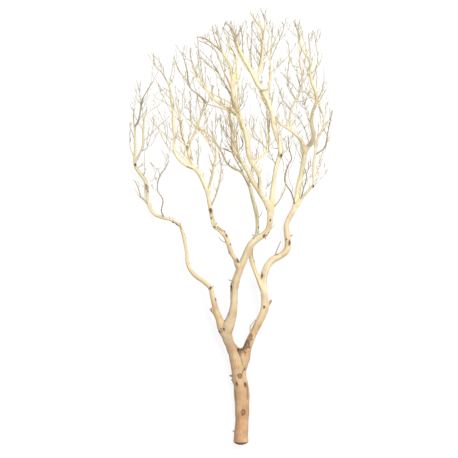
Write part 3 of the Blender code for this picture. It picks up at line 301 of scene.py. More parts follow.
# Twigs that show by themselves: colour, thickness at the root, then x and y from root to tip
shownTwigs = (
    ("grey", 1.3, (149, 1438), (137, 1453)), ("grey", 1.2, (195, 1394), (175, 1415), (158, 1430)),
    ("dark", 1.4, (195, 1421), (199, 1442), (203, 1465)),
    ("dark", 1.5, (207, 1230), (196, 1259), (190, 1295)),
    ("dark", 1.3, (203, 1298), (188, 1299), (174, 1307)),
    ("grey", 1.5, (168, 1199), (159, 1247), (162, 1293), (165, 1320), (166, 1348), (162, 1370)),
    ("dark", 1.3, (200, 1212), (178, 1235), (159, 1254), (137, 1281)),
    ("dark", 1.4, (190, 1187), (178, 1206), (164, 1234), (163, 1254)),
    ("dark", 1.5, (169, 1151), (156, 1170), (142, 1187), (135, 1216), (123, 1240), (112, 1265)),
    ("dark", 1.2, (141, 1186), (132, 1168), (125, 1153), (122, 1141)),
    ("pale", 1.4, (240, 1288), (236, 1327), (234, 1361), (231, 1392), (229, 1415)),
    ("grey", 1.2, (260, 1380), (271, 1404), (270, 1430)),
    ("grey", 1.1, (257, 1377), (253, 1397), (251, 1420)),
    ("grey", 1.3, (262, 1199), (260, 1223), (259, 1259), (257, 1298)),
    ("rust", 2.0, (257, 1185), (238, 1194), (224, 1206), (209, 1224)),
    ("dark", 1.4, (214, 1161), (218, 1175), (228, 1197)),
    ("dark", 1.8, (282, 1091), (289, 1075), (296, 1058), (291, 1041), (287, 1024)),
    ("grey", 1.2, (301, 1089), (297, 1100), (307, 1115), (310, 1134), (314, 1147), (316, 1159)),
    ("rust", 1.6, (257, 1038), (262, 1058), (265, 1079), (267, 1099)),
    ("pale", 1.5, (281, 1093), (274, 1106), (271, 1123), (271, 1141)),
    ("dark", 1.7, (279, 1134), (271, 1149), (265, 1170), (262, 1188)),
    ("grey", 1.3, (282, 1117), (289, 1141), (288, 1171)),
    ("dark", 1.7, (231, 1041), (225, 1072), (217, 1091), (206, 1113), (198, 1125), (192, 1135),
     (177, 1142)),
    ("dark", 1.1, (219, 1089), (221, 1097), (231, 1101)),
    ("dark", 1.2, (199, 1120), (188, 1130), (179, 1133)),
    ("dark", 1.1, (204, 1108), (196, 1098), (190, 1091)),
    ("rust", 1.6, (195, 1067), (200, 1073), (208, 1082)),
    ("rust", 2.0, (243, 1093), (232, 1120), (223, 1147), (219, 1171), (223, 1192), (228, 1202)),
    ("grey", 1.3, (217, 1164), (214, 1185), (216, 1199)),
    ("rust", 1.4, (214, 1158), (203, 1171), (196, 1182)),
    ("dark", 1.3, (223, 932), (232, 949), (239, 964)), ("dark", 1.3, (209, 928), (214, 940), (219, 952)),
    ("dark", 1.6, (211, 968), (204, 972), (199, 977)),
    ("grey", 1.6, (212, 973), (203, 993), (194, 1012), (187, 1031), (180, 1045)),
    ("dark", 1.2, (166, 1007), (158, 1019), (155, 1038), (151, 1048)),
    ("dark", 1.1, (166, 1014), (171, 1028), (173, 1045)),
    ("grey", 1.1, (164, 971), (155, 984), (149, 996)),
    ("grey", 1.3, (183, 870), (172, 896), (164, 918), (162, 945)),
    ("dark", 1.5, (249, 897), (258, 909), (265, 917)), ("dark", 1.3, (250, 894), (258, 899), (264, 905)),
    ("dark", 1.9, (116, 962), (110, 978), (104, 995), (97, 1008), (89, 1019)),
    ("dark", 1.3, (110, 980), (99, 986), (89, 997)),
    ("grey", 1.6, (118, 1014), (110, 1024), (103, 1036), (99, 1051)),
    ("dark", 1.5, (89, 1017), (75, 1031), (62, 1043), (48, 1053), (36, 1063), (27, 1075)),
    ("dark", 1.4, (43, 1058), (38, 1077), (43, 1096), (45, 1113), (43, 1125)),
    ("rust", 1.5, (50, 980), (53, 997), (55, 1014), (59, 1031)),
    ("dark", 1.1, (60, 986), (58, 1002), (55, 1014)),
    ("grey", 1.3, (87, 1055), (80, 1079), (73, 1096), (68, 1113)),
    ("dark", 2.2, (101, 1045), (97, 1069), (97, 1099), (97, 1127), (96, 1144)),
    ("grey", 1.4, (89, 1038), (84, 1062), (82, 1089), (84, 1120)),
    ("grey", 1.1, (81, 1120), (73, 1135), (68, 1151)), ("dark", 1.4, (16, 1079), (17, 1103), (16, 1130)),
    ("grey", 1.2, (32, 1082), (29, 1106), (32, 1130)),
    ("dark", 1.6, (-8, 1154), (3, 1170), (7, 1188), (8, 1209)),
    ("grey", 1.3, (-1, 1164), (-5, 1188), (-5, 1212)), ("grey", 1.4, (17, 959), (11, 980), (8, 1004)),
    ("dark", 1.8, (-9, 1007), (0, 1022), (7, 1034), (3, 1051), (-2, 1062)),
    ("dark", 1.6, (-16, 1005), (-27, 1017), (-39, 1029)),
    ("dark", 1.9, (-33, 1004), (-48, 1012), (-60, 1017), (-69, 1020)),
    ("dark", 1.6, (-36, 1045), (-46, 1063), (-58, 1080), (-71, 1098)),
    ("grey", 1.2, (-68, 1096), (-71, 1120), (-74, 1135)),
    ("rust", 1.8, (-22, 1045), (-21, 1075), (-23, 1103), (-27, 1123)),
    ("rust", 1.6, (-15, 1028), (-17, 1048), (-13, 1070), (-15, 1093)),
    ("grey", 1.8, (-42, 1048), (-49, 1075), (-51, 1099), (-53, 1121)),
    ("dark", 1.2, (-51, 958), (-66, 965), (-77, 971)),
    ("dark", 1.5, (105, 908), (98, 897), (89, 887), (84, 877)),
    ("grey", 1.5, (-366, 990), (-375, 1008), (-381, 1024), (-382, 1048), (-381, 1069)),
    ("dark", 1.8, (-337, 1009), (-327, 1017), (-321, 1026), (-323, 1045), (-319, 1065), (-315, 1089)),
    ("grey", 1.3, (-321, 1027), (-315, 1045), (-308, 1069), (-301, 1096), (-300, 1120)),
    ("grey", 1.2, (-321, 1026), (-310, 1030), (-300, 1045), (-288, 1069), (-282, 1079)),
    ("dark", 1.5, (-362, 980), (-355, 985), (-351, 992)),
    ("grey", 1.2, (-351, 952), (-340, 968), (-332, 975)),
    ("grey", 1.1, (-348, 949), (-342, 960), (-332, 964)),
    ("rust", 1.5, (-327, 897), (-333, 914), (-334, 932), (-330, 940)),
    ("grey", 1.2, (-351, 877), (-350, 896), (-356, 910)),
    ("dark", 1.6, (-327, 839), (-334, 851), (-329, 863)), ("grey", 1.2, (-287, 879), (-296, 877)),
    ("dark", 1.2, (-277, 923), (-281, 938), (-286, 949), (-292, 951)),
    ("grey", 1.0, (-284, 947), (-275, 954)),
    ("dark", 1.1, (-279, 918), (-290, 918), (-299, 914), (-310, 908)),
    ("grey", 1.0, (-295, 916), (-295, 930), (-288, 943)),
    ("dark", 1.6, (-229, 773), (-234, 781), (-236, 788)),
    ("dark", 1.4, (-243, 777), (-245, 784), (-248, 788)),
    ("grey", 1.7, (-221, 993), (-240, 1014), (-257, 1034), (-277, 1072), (-292, 1114)),
    ("grey", 1.5, (-144, 947), (-148, 969), (-151, 993), (-153, 1010)),
    ("dark", 1.5, (-147, 966), (-145, 990), (-146, 1014), (-147, 1041), (-145, 1062)),
    ("dark", 1.4, (-169, 1096), (-173, 1127), (-173, 1158), (-172, 1188)),
    ("dark", 1.6, (-197, 1045), (-205, 1069), (-207, 1093), (-204, 1113), (-219, 1123)),
    ("grey", 1.2, (-128, 1144), (-121, 1156), (-120, 1171)),
    ("grey", 1.3, (-95, 947), (-99, 962), (-103, 976)),
    ("dark", 1.3, (-84, 1051), (-96, 1070), (-107, 1084), (-112, 1094)),
    ("pale", 2.2, (-81, 1045), (-88, 1075), (-88, 1106), (-88, 1141)),
    ("grey", 1.3, (-188, 1296), (-179, 1271)), ("grey", 1.1, (-199, 1336), (-194, 1358), (-192, 1373)),
    ("grey", 1.3, (-196, 1268), (-210, 1283), (-225, 1320), (-229, 1343)),
    ("grey", 1.2, (-248, 1233), (-237, 1278), (-231, 1330)),
    ("dark", 1.4, (-79, 1343), (-94, 1358), (-111, 1370), (-129, 1379), (-145, 1387)),
    ("dark", 1.3, (-79, 1401), (-92, 1421), (-100, 1441)),
    ("grey", 1.1, (-84, 1411), (-96, 1416), (-111, 1427)),
    ("dark", 1.3, (-80, 1397), (-82, 1422), (-92, 1444)),
    ("dark", 1.6, (-17, 1380), (-18, 1404), (-34, 1425), (-51, 1444)),
    ("dark", 1.1, (-36, 1432), (-38, 1441), (-34, 1456)),
    ("dark", 1.3, (-16, 1384), (-27, 1397), (-43, 1410), (-63, 1432)),
    ("grey", 1.1, (-16, 1397), (-6, 1419)), ("dark", 1.3, (5, 1377), (3, 1404), (0, 1419), (-4, 1438)),
    ("grey", 1.0, (1, 1418), (5, 1442)), ("grey", 1.0, (5, 1397), (7, 1410), (14, 1432)),
    ("grey", 1.4, (-53, 1329), (-52, 1342), (-48, 1364), (-43, 1397)),
    ("dark", 1.5, (-41, 1212), (-62, 1247), (-80, 1278), (-104, 1296), (-127, 1317), (-145, 1331)),
    ("grey", 1.3, (-75, 1271), (-80, 1283), (-101, 1314), (-131, 1345), (-154, 1367), (-160, 1382)),
    ("grey", 1.2, (-149, 1267), (-154, 1280), (-163, 1305), (-173, 1333), (-175, 1356)),
    ("grey", 1.1, (-138, 1257), (-143, 1293), (-148, 1327), (-152, 1349)),
    ("grey", 1.2, (-118, 1223), (-122, 1259), (-123, 1296), (-128, 1319)),
    ("dark", 1.9, (-117, 1172), (-145, 1200), (-176, 1228), (-194, 1265)),
    ("dark", 1.3, (-123, 1171), (-123, 1197), (-121, 1212)), ("dark", 1.2, (-196, 1202), (-219, 1225)),
    ("dark", 1.2, (-242, 1212), (-259, 1222), (-276, 1216)),
    ("grey", 1.3, (-288, 1288), (-298, 1312), (-300, 1349)),
    ("grey", 1.2, (-271, 1274), (-272, 1284), (-276, 1312)),
    ("grey", 1.2, (-238, 1161), (-271, 1182), (-295, 1195), (-284, 1209), (-260, 1219)),
    ("dark", 1.5, (-343, 1141), (-342, 1178), (-329, 1206), (-312, 1233), (-298, 1252)),
    ("grey", 1.2, (-342, 1175), (-346, 1199), (-349, 1226), (-360, 1254)),
    ("grey", 1.0, (-346, 1212), (-346, 1230), (-344, 1254)),
    ("dark", 1.1, (-341, 1168), (-332, 1185), (-324, 1199)),
    ("grey", 1.3, (-366, 1113), (-368, 1147), (-377, 1156)), ("grey", 1.0, (-368, 1144), (-364, 1159)),
    ("dark", 1.4, (-356, 1093), (-349, 1117), (-336, 1137), (-320, 1154)),
    ("dark", 1.4, (-375, 1038), (-382, 1065), (-378, 1096), (-377, 1113)),
    ("grey", 1.4, (-250, 1041), (-257, 1065), (-264, 1106), (-277, 1137), (-288, 1164)),
    ("grey", 1.2, (-248, 1038), (-250, 1055), (-253, 1096), (-262, 1130)),
    ("dark", 1.5, (-194, 1034), (-204, 1069), (-207, 1106), (-219, 1120)),
    ("dark", 1.2, (-175, 1130), (-175, 1158), (-175, 1188)),
    ("dark", 1.2, (-190, 1154), (-192, 1161), (-194, 1185)),
    ("grey", 1.5, (-192, 1028), (-223, 1058), (-243, 1089)),
    ("grey", 1.0, (118, 1014), (125, 1024), (132, 1031)),
    ("grey", 1.2, (88, 1014), (58, 1055), (34, 1099)),
    ("grey", 1.2, (-65, 956), (-73, 986), (-79, 1014)),
    ("grey", 1.1, (-62, 952), (-60, 983), (-55, 1010)),
    ("dark", 1.2, (53, 1349), (58, 1345), (65, 1334)), ("grey", 1.2, (74, 1373), (53, 1404)),
    ("grey", 1.2, (60, 1298), (51, 1336)), ("dark", 1.3, (67, 1302), (57, 1327), (51, 1355)),
    ("grey", 1.2, (71, 1315), (88, 1339), (92, 1370), (97, 1410)),
    ("dark", 1.2, (73, 1373), (48, 1410), (37, 1432)),
    ("grey", 1.2, (103, 1363), (117, 1388), (106, 1413)),
    ("dark", 1.4, (65, 1302), (65, 1339), (54, 1352), (29, 1397), (15, 1419)),
    ("dark", 1.1, (-14, 1384), (-15, 1401), (-6, 1417)),
    ("grey", 1.2, (168, 1151), (144, 1171), (127, 1182)), ("grey", 1.1, (209, 1219), (190, 1274)),
    ("grey", 1.1, (207, 1216), (229, 1206), (250, 1188)),
    ("rust", 1.4, (194, 1373), (199, 1397), (204, 1425)),
    ("grey", 1.2, (234, 1315), (238, 1349), (231, 1411)),
    ("brown", 2.0, (-14, 1007), (-27, 1041), (-41, 1082), (-48, 1123)),
    ("brown", 2.0, (-10, 1017), (-14, 1055), (-22, 1096), (-26, 1141)),
    ("brown", 1.8, (-7, 1014), (-7, 1048), (-14, 1082), (-10, 1113)),
    ("grey", 1.4, (0, 1158), (5, 1192), (10, 1219), (21, 1240)),
    ("grey", 1.3, (3, 1144), (14, 1175), (24, 1202)), ("grey", 1.3, (-3, 1185), (3, 1212), (2, 1240)),
    ("dark", 2.0, (-17, 1000), (-38, 1024), (-51, 1055), (-65, 1089)),
    ("dark", 1.8, (-27, 1021), (-43, 1051), (-58, 1082), (-74, 1106)),
    ("dark", 2.4, (-31, 1005), (-51, 1016), (-68, 1022)),
    ("dark", 2.0, (-3, 1010), (7, 1029), (3, 1045), (-2, 1062)),
    ("grey", 1.6, (-51, 1055), (-50, 1089), (-53, 1123)), ("grey", 1.5, (-68, 1110), (-70, 1141)),
    ("pale", 1.8, (-79, 1089), (-82, 1120), (-87, 1151)),
    ("grey", 1.4, (-21, 1082), (-31, 1110), (-43, 1130)),
    ("brown", 1.6, (-24, 1028), (-15, 1062), (-17, 1096), (-31, 1127)),
    ("grey", 1.4, (-86, 1014), (-92, 1048), (-106, 1079)),
    ("dark", 1.6, (-113, 1173), (-130, 1188), (-149, 1204)),
    ("dark", 1.6, (-75, 1271), (-89, 1293), (-103, 1319)),
    ("grey", 1.6, (-34, 1209), (-58, 1240), (-75, 1271), (-96, 1290), (-120, 1315), (-144, 1331)),
    ("grey", 1.4, (-45, 1226), (-65, 1250), (-86, 1267)),
    ("dark", 2.2, (-55, 1341), (-74, 1356), (-96, 1373), (-116, 1389), (-140, 1399)),
    ("dark", 1.6, (-65, 1348), (-82, 1377), (-92, 1404), (-99, 1435)),
    ("dark", 2.0, (-68, 1356), (-77, 1391), (-84, 1418), (-80, 1442)),
    ("dark", 1.8, (-15, 1322), (-29, 1339), (-41, 1344)),
    ("dark", 1.5, (-17, 1332), (-27, 1349), (-36, 1363)),
    ("brown", 1.8, (-43, 1356), (-41, 1384), (-43, 1404)),
    ("dark", 2.0, (-17, 1396), (-27, 1416), (-36, 1437)),
    ("dark", 1.6, (-17, 1396), (-9, 1409), (-2, 1423)),
    ("grey", 1.4, (55, 1356), (51, 1377), (38, 1404), (38, 1432)),
    ("dark", 1.6, (72, 1329), (57, 1351), (53, 1360)), ("grey", 1.4, (34, 1302), (34, 1339), (36, 1377)),
    ("grey", 1.4, (10, 1339), (5, 1373), (3, 1408), (0, 1435)),
    ("grey", 1.4, (58, 1298), (45, 1329), (31, 1356)),
)
shownWork = {
    "stout": 1.35,            # their thickness by the one given
    "tip": 1.3,               # mm
    "rise": (-0.2, 0.5),      # mm up for each mm out
    "leastRoot": 2.0,         # mm, however thin the wood is that it grows from
    "joined": 7.0,            # mm, the gap to the wood that it crosses on a slant
    "facet": 4.0,
    "dark": (0.5, 0.50, 0.4),     # tan, dark and grey
    "grey": (0.2, 0.12, 0.7),
    "rust": (0.9, 0.18, 0.0),
    "pale": (-0.1, 0.0, 0.0),
    "brown": (0.6, 0.25, 0.0),
    "olive": (0.0, 0.10, 0.25),
    "seed": 31,
}

# Strands that hug a limb: colour, thickness at root and tip, then x and y from root to tip
strands = (
    ("pale", 6.5, 3.5, (7, 1055), (-2, 1093), (-14, 1127), (-27, 1158), (-33, 1192), (-33, 1226),
     (-34, 1260)),
    ("brown", 6, 3, (31, 901), (15, 921), (2, 945), (-14, 973), (-27, 997), (-34, 1024)),
    ("olive", 6, 2.5, (-7, 1123), (-41, 1146), (-82, 1161), (-120, 1171), (-147, 1182)),
    ("pale", 5, 2.5, (-10, 1154), (-45, 1178), (-82, 1197), (-113, 1216), (-140, 1240)),
    ("brown", 3, 1.8, (-3, 980), (-10, 1007), (-21, 1038), (-31, 1072), (-39, 1110), (-45, 1137)),
    ("pale", 6, 4, (-17, 1141), (-13, 1175), (-10, 1212), (-12, 1254), (-15, 1288), (-15, 1322),
     (-27, 1353), (-39, 1370)),
    ("pale", 4, 2.5, (38, 1271), (17, 1295), (0, 1325), (-15, 1356), (-24, 1384)),
    ("olive", 4, 2.5, (58, 1260), (62, 1302), (67, 1339), (68, 1380), (63, 1415)),
    ("pale", 4, 2.5, (-21, 1199), (-27, 1236), (-39, 1271), (-48, 1302), (-58, 1332)),
    ("pale", 5, 2.5, (-153, 945), (-182, 970), (-206, 995), (-223, 1015), (-231, 1048)),
    ("pale", 4.5, 2, (-161, 954), (-186, 986), (-202, 1015), (-210, 1048), (-219, 1089)),
    ("brown", 4, 2, (-153, 949), (-173, 978), (-186, 1011), (-194, 1044), (-206, 1085)),
    ("grey", 3.5, 1.8, (-164, 976), (-169, 995), (-175, 1028), (-182, 1069)),
    ("olive", 3.5, 2, (86, 1007), (89, 1041), (84, 1082), (77, 1123)),
    ("brown", 3.5, 2, (94, 1007), (96, 1041), (92, 1082), (89, 1123)),
    ("pale", 3.5, 1.8, (79, 1000), (75, 1038), (68, 1079), (62, 1117)),
)
strandWork = {
    "lift": (-3.0, 5.0),      # mm above the middle of the limb that they hug
    "steepest": 0.5,          # mm up or down for each mm along
    "seed": 27,
}

# How far along the crown reaches from left to right
crownOutline = (
    (-392, 1170), (-366, 1245), (-340, 1253), (-325, 1356), (-295, 1356), (-268, 1318),
    (-240, 1284), (-228, 1374), (-186, 1376), (-165, 1370), (-154, 1400), (-118, 1426),
    (-92, 1446), (-48, 1460), (-30, 1462), (0, 1446), (28, 1488), (65, 1500), (92, 1500),
    (120, 1440), (154, 1474), (182, 1464), (206, 1468), (230, 1416), (256, 1436),
    (274, 1434), (280, 1330), (291, 1276), (310, 1172), (318, 1158),
)

# Places in the crown that stay open: centre x and y, half width, half length, in mm
openPlaces = (
    (-225, 880, 62, 80),
    (-305, 1000, 34, 50),
    (-35, 855, 28, 95),
    (48, 1170, 26, 46),
    (172, 935, 26, 105),
    (222, 1075, 16, 60),
)

# Towards the crown's edge, limbs and twigs get finer, darker and greyer
crownEdge = {
    "slimFrom": 240.0,         # mm from the edge
    "slim": 0.42,              # share of the thickness that is gone at the edge
    "finest": 1.9,             # mm
    "kept": ("trunk", "tallCrownLimb", "highTopLimb"),     # which aren't thinned
    "stouter": {"highTopLimb": 1.2, "highMiddleLimb": 1.25, "brownCrownLimb": 0.9},
    "darkFrom": 95.0,          # mm from the edge
    "dark": 0.15,
    "grey": 0.25,
}

# The first twigs, which the solid has too
firstTwigs = {
    "length": (55.0, 135.0),   # mm
    "lowShare": 0.45,          # a twig below lowCrown has this share of its length
    "root": 5.0,               # mm across where it leaves its limb, at most
    "shareOfLimb": 0.5,        # and at most this share of the limb's thickness
    "tip": 2.2,                # mm across near its tip
    "lean": (24.0, 50.0),      # degrees off the limb's own direction
    "bends": 4,                # stretches, each with a heading of its own
    "wander": 0.30,            # how far each stretch strays
    "pull": 0.26,              # how far each stretch turns outwards
    "first": 0.30,             # share of the limb below its first twig
    "jitter": 0.6,             # radians off the spiral round its limb
    "seed": 11,
    "slim": 0.6,               # they are this much thinner here than in the solid
}
lowCrown = 900.0                           # mm along, where the open lower limbs end
fanCentre = Vector((-5.0, 480.0, 170.0))   # the place that the crown fans out from
forwardPull = Vector((0.0, 0.8, 0.0))
crownDepth = (12.0, 390.0)                 # mm above the surface, for every twig
sampleStep = 3.0                           # mm between the samples of a smooth route
plumbFrom = 600.0                          # mm up, above all the wood


# Routes

def toMetres(points):
    return (points - middleOfRoutes) * mm


def toMm(points):
    return points / mm + middleOfRoutes


def held(value, low, high):
    return min(max(value, low), high)


def lengthsAlong(points):
    lengths = [0.0]
    for a, b in zip(points, points[1:]):
        lengths.append(lengths[-1] + (b - a).length)
    return lengths


def spread(values, share):
    place = share * (len(values) - 1)
    low = min(int(place), len(values) - 2)
    return values[low] + (values[low + 1] - values[low]) * (place - low)


def evenWidths(ends, count):
    return [spread(ends, n / (count - 1)) for n in range(count)]


# A heading off the wood's own: turned round it by roll, leaning so many degrees
def headingOff(forward, side, roll, degrees):
    away = side * math.cos(roll) + side.cross(forward) * math.sin(roll)
    lean = math.radians(degrees)
    return forward * math.cos(lean) + away * math.sin(lean)


def smoothLine(points, widths, step=sampleStep):
    knots = [2 * points[0] - points[1]] + points + [2 * points[-1] - points[-2]]
    spots, thick = [], []
    for n in range(len(points) - 1):
        before, start, end, after = knots[n:n + 4]
        count = max(2, round((end - start).length / step))
        for k in range(count):
            t = k / count
            spots.append(0.5 * (2 * start + (end - before) * t
                                + (2 * before - 5 * start + 4 * end - after) * t * t
                                + (3 * start - before - 3 * end + after) * t ** 3))
            thick.append(widths[n] + (widths[n + 1] - widths[n]) * t)
    return spots + [points[-1]], thick + [widths[-1]]


def stretchOf(limb):
    points = [Vector(p) for p in limb["route"]]
    lengths = lengthsAlong(points)
    return points, [spread(limb["thick"], s / lengths[-1]) for s in lengths]


# Some limbs are stouter or finer here than in the solid, but for their roots
def stouterWidths(name, widths):
    more = crownEdge["stouter"].get(name, 1.0) - 1
    return [w * (1 + more * min(1.0, 4 * n / len(widths))) for n, w in enumerate(widths)]


def outlineTop(x):
    for (x0, y0), (x1, y1) in zip(crownOutline, crownOutline[1:]):
        if x0 <= x <= x1:
            return y0 + (y1 - y0) * (x - x0) / (x1 - x0)
    return 0.0


def inOpenPlace(spot):
    for x, y, wide, long in openPlaces:
        if ((spot.x - x) / wide) ** 2 + ((spot.y - y) / long) ** 2 < 1:
            return True
    return False


# Most limbs are finer here than in the solid towards the crown's edge
def slimmed(spot, width):
    left = outlineTop(spot.x) - spot.y
    share = held(1 - left / crownEdge["slimFrom"], 0.0, 1.0)
    return max(width * (1 - crownEdge["slim"] * share), min(width, crownEdge["finest"]))


def makeLine(name, spots, thick, root=None, blunt=False, tone=None):
    return {
        "name": name, "spots": np.array([tuple(s) for s in spots]), "thick": np.array(thick),
        "root": root, "blunt": blunt, "tone": tone,
    }


# The whole lines: each limb with those that carry on from its end
def limbLines():
    lines, lineOf = {}, {}
    for name, limb in limbs.items():
        if limb.get("carriesOn"):
            continue
        points, widths = stretchOf(limb)
        widths = stouterWidths(name, widths)
        lineOf[name] = name
        last = name
        for other, more in limbs.items():
            if more.get("carriesOn") and more["root"] == last:
                morePoints, moreWidths = stretchOf(more)
                points += morePoints
                widths += stouterWidths(other, moreWidths)
                lineOf[other] = name
                last = other
        spots, thick = smoothLine(points, widths)
        if not limb.get("blunt") and name not in crownEdge["kept"]:
            thick = [slimmed(spot, width) for spot, width in zip(spots, thick)]
        lines[name] = makeLine(name, spots, thick, limb["root"], limb.get("blunt", False))
    for line in lines.values():
        if line["root"]:
            line["root"] = lineOf[line["root"]]
    return lines, lineOf


def outwardsAt(spot):
    return ((spot - fanCentre).normalized() + forwardPull).normalized()


# One twig's route: it wanders, turns outwards and stops at the crown's edge
def twigRoute(draw, start, heading, length, habit, keepOpen=True):
    route = [start]
    step = length / habit["bends"]
    inside = True
    for _ in range(habit["bends"]):
        outwards = outwardsAt(route[-1])
        stray = Vector([draw.uniform(-habit["wander"], habit["wander"]) for _ in range(3)])
        heading = (heading + outwards * habit["pull"] + stray).normalized()
        spot = route[-1] + heading * step
        spot.z = held(spot.z, *crownDepth)
        inside = inside and spot.y < outlineTop(spot.x)
        inside = inside and not (keepOpen and inOpenPlace(spot))
        if inside:
            route.append(spot)
    return route


# The first twigs, drawn in the same order as for the solid
def growFirstTwigs(lineOf):
    draw = random.Random(firstTwigs["seed"])
    twigs = []
    for name, limb in limbs.items():
        spots, thick = smoothLine(*stretchOf(limb))
        lengths = lengthsAlong(spots)
        for k in range(limb["twigs"]):
            share = (k + draw.uniform(0.1, 0.9)) / limb["twigs"]
            share = firstTwigs["first"] + (1 - firstTwigs["first"]) * share
            i = next(n for n, s in enumerate(lengths)
                     if s >= share * lengths[-1] or n == len(spots) - 2)
            forward = (spots[i + 1] - spots[i]).normalized()
            side = forward.cross(zUp).normalized()
            roll = k * goldenAngle + draw.uniform(-firstTwigs["jitter"], firstTwigs["jitter"])
            heading = headingOff(forward, side, roll, draw.uniform(*firstTwigs["lean"]))
            length = draw.uniform(*firstTwigs["length"])
            if spots[i].y < lowCrown:
                length *= firstTwigs["lowShare"]
            route = twigRoute(draw, spots[i], heading, length, firstTwigs, keepOpen=False)
            width = min(firstTwigs["root"], firstTwigs["shareOfLimb"] * thick[i])
            if len(route) > 2:
                widths = evenWidths((width, firstTwigs["tip"]), len(route))
                fine, fineThick = smoothLine(route, widths)
                slim = [w * firstTwigs["slim"] for w in fineThick]
                twigs.append(makeLine(f"{name}Twig{k + 1}", fine, slim, lineOf[name]))
    return twigs


# Spurs along the finer twigs, in a spiral, shorter towards each one's tip
def growSpurs(carriers):
    habit = tipTwigs
    draw = random.Random(habit["seed"])
    twigs = []
    for carrier in carriers:
        spots = [Vector(p) for p in carrier["spots"]]
        lengths = lengthsAlong(spots)
        total = lengths[-1]
        s = max(habit["first"] * total, habit["bareRoot"]) + draw.uniform(0, habit["spacing"][0])
        k = draw.randrange(habit["starts"])
        while s < total - habit["bareTip"]:
            i = min(int(np.searchsorted(lengths, s)), len(spots) - 2)
            forward = (spots[i + 1] - spots[i]).normalized()
            side = forward.cross(zUp)
            side = side.normalized() if side.length > 0.05 else Vector((1.0, 0.0, 0.0))
            roll = k * goldenAngle + draw.uniform(-habit["jitter"], habit["jitter"])
            heading = headingOff(forward, side, roll, draw.uniform(*habit["lean"]))
            length = min(habit["share"] * (total - s) + habit["least"], habit["most"])
            length *= draw.uniform(*habit["variety"])
            route = twigRoute(draw, spots[i], heading, length, habit)
            width = min(habit["root"], habit["shareOfCarrier"] * carrier["thick"][i])
            bare = spots[i].y < habit["from"] or inOpenPlace(spots[i])
            if len(route) > 2 and not bare:
                widths = evenWidths((width, habit["tip"]), len(route))
                fine, thick = smoothLine(route, widths, habit["step"])
                alike = carrier["tone"] and draw.random() < habit["sameTone"]
                tone = carrier["tone"] if alike else None
                twigs.append(makeLine("spur", fine, thick, carrier["name"], tone=tone))
            s += draw.uniform(*habit["spacing"])
            k += 1
    return twigs


def growStrands(limbs):
    draw = random.Random(strandWork["seed"])
    spots = np.concatenate([line["spots"] for line in limbs])
    twigs = []
    for colour, root, tip, *way in strands:
        route = []
        for x, y in way:
            nearest = spots[np.abs(spots[:, :2] - (x, y)).sum(axis=1).argmin()]
            z = nearest[2] + draw.uniform(*strandWork["lift"])
            if route:
                most = strandWork["steepest"] * math.hypot(x - route[-1].x, y - route[-1].y)
                z = held(z, route[-1].z - most, route[-1].z + most)
            route.append(Vector((x, y, z)))
        fine, thick = smoothLine(route, evenWidths((root, tip), len(route)))
        tone = (*shownWork[colour], draw.random())
        twigs.append(makeLine(f"strand{len(twigs)}", fine, thick, tone=tone))
    return twigs


# The twigs that show by themselves, in plan: each starts on whatever wood is nearest
def growShownTwigs(carriers):
    draw = random.Random(shownWork["seed"])
    spots, owners = [], []
    for carrier in carriers:
        for n in range(0, len(carrier["spots"]), 2):
            spots.append(Vector(carrier["spots"][n]))
            owners.append((carrier["name"], carrier["thick"][n]))
    twigs = []
    for colour, root, *way in shownTwigs:
        first = Vector((*way[0], 0.0))
        near = min(range(len(spots)), key=lambda n: (spots[n] - first).xy.length)
        start = spots[near]
        rise = draw.uniform(*shownWork["rise"])
        route = [start]
        if (start - first).xy.length > shownWork["joined"]:
            way.insert(1, tuple((a + b) / 2 for a, b in zip(way[0], way[1])))
        for x, y in way[1:]:
            off = (Vector((x, y, 0.0)) - start).xy.length
            z = start.z + rise * off + draw.uniform(-0.04, 0.04) * off
            route.append(Vector((x, y, held(z, *crownDepth))))
        carrier, thickHere = owners[near]
        most = max(thickHere, shownWork["leastRoot"])
        ends = (min(root * shownWork["stout"], most), shownWork["tip"])
        fine, thick = smoothLine(route, evenWidths(ends, len(route)), shownWork["facet"])
        tone = (*shownWork[colour], draw.random())
        twig = makeLine(f"shown{len(twigs)}", fine, thick, carrier, tone=tone)
        twigs.append(twig)
        for spot, width in zip(fine[::2], thick[::2]):
            spots.append(Vector(spot))
            owners.append((twig["name"], width))
    return twigs


# Free places in the crown, spread evenly as seen from above, each near the limb it belongs to
def freePlaces(draw, spots):
    habit = fineTwigs
    tree = KDTree(len(spots))
    for n, spot in enumerate(spots):
        tree.insert((spot[0], spot[1], 0.0), n)
    tree.balance()
    places = []
    left, right = crownOutline[0][0], crownOutline[-1][0]
    y = habit["from"]
    while y < habit["to"]:
        x = left
        while x < right:
            spot = Vector((x, y, 0.0))
            for c in range(2):
                spot[c] += draw.uniform(-0.5, 0.5) * habit["spacing"]
            lift, chance = draw.gauss(0.0, habit["depth"]), draw.random()
            nearest, n, far = tree.find(spot)
            if spot.y < outlineTop(spot.x) and far < habit["reach"] and chance < densityAt(spot):
                spot.z = held(spots[n][2] + lift, *crownDepth)
                places.append(spot)
            x += habit["spacing"]
        y += habit["spacing"]
    return places


def densityAt(spot):
    density = fineTwigs["density"]
    for x, y, wide, long, value in crownPlaces:
        far = math.sqrt(((spot.x - x) / wide) ** 2 + ((spot.y - y) / long) ** 2)
        share = held((1.6 - far) / 0.6, 0.0, 1.0)     # fades out from the place's rim to 1.6 times as far
        density += (value - density) * share
    return density


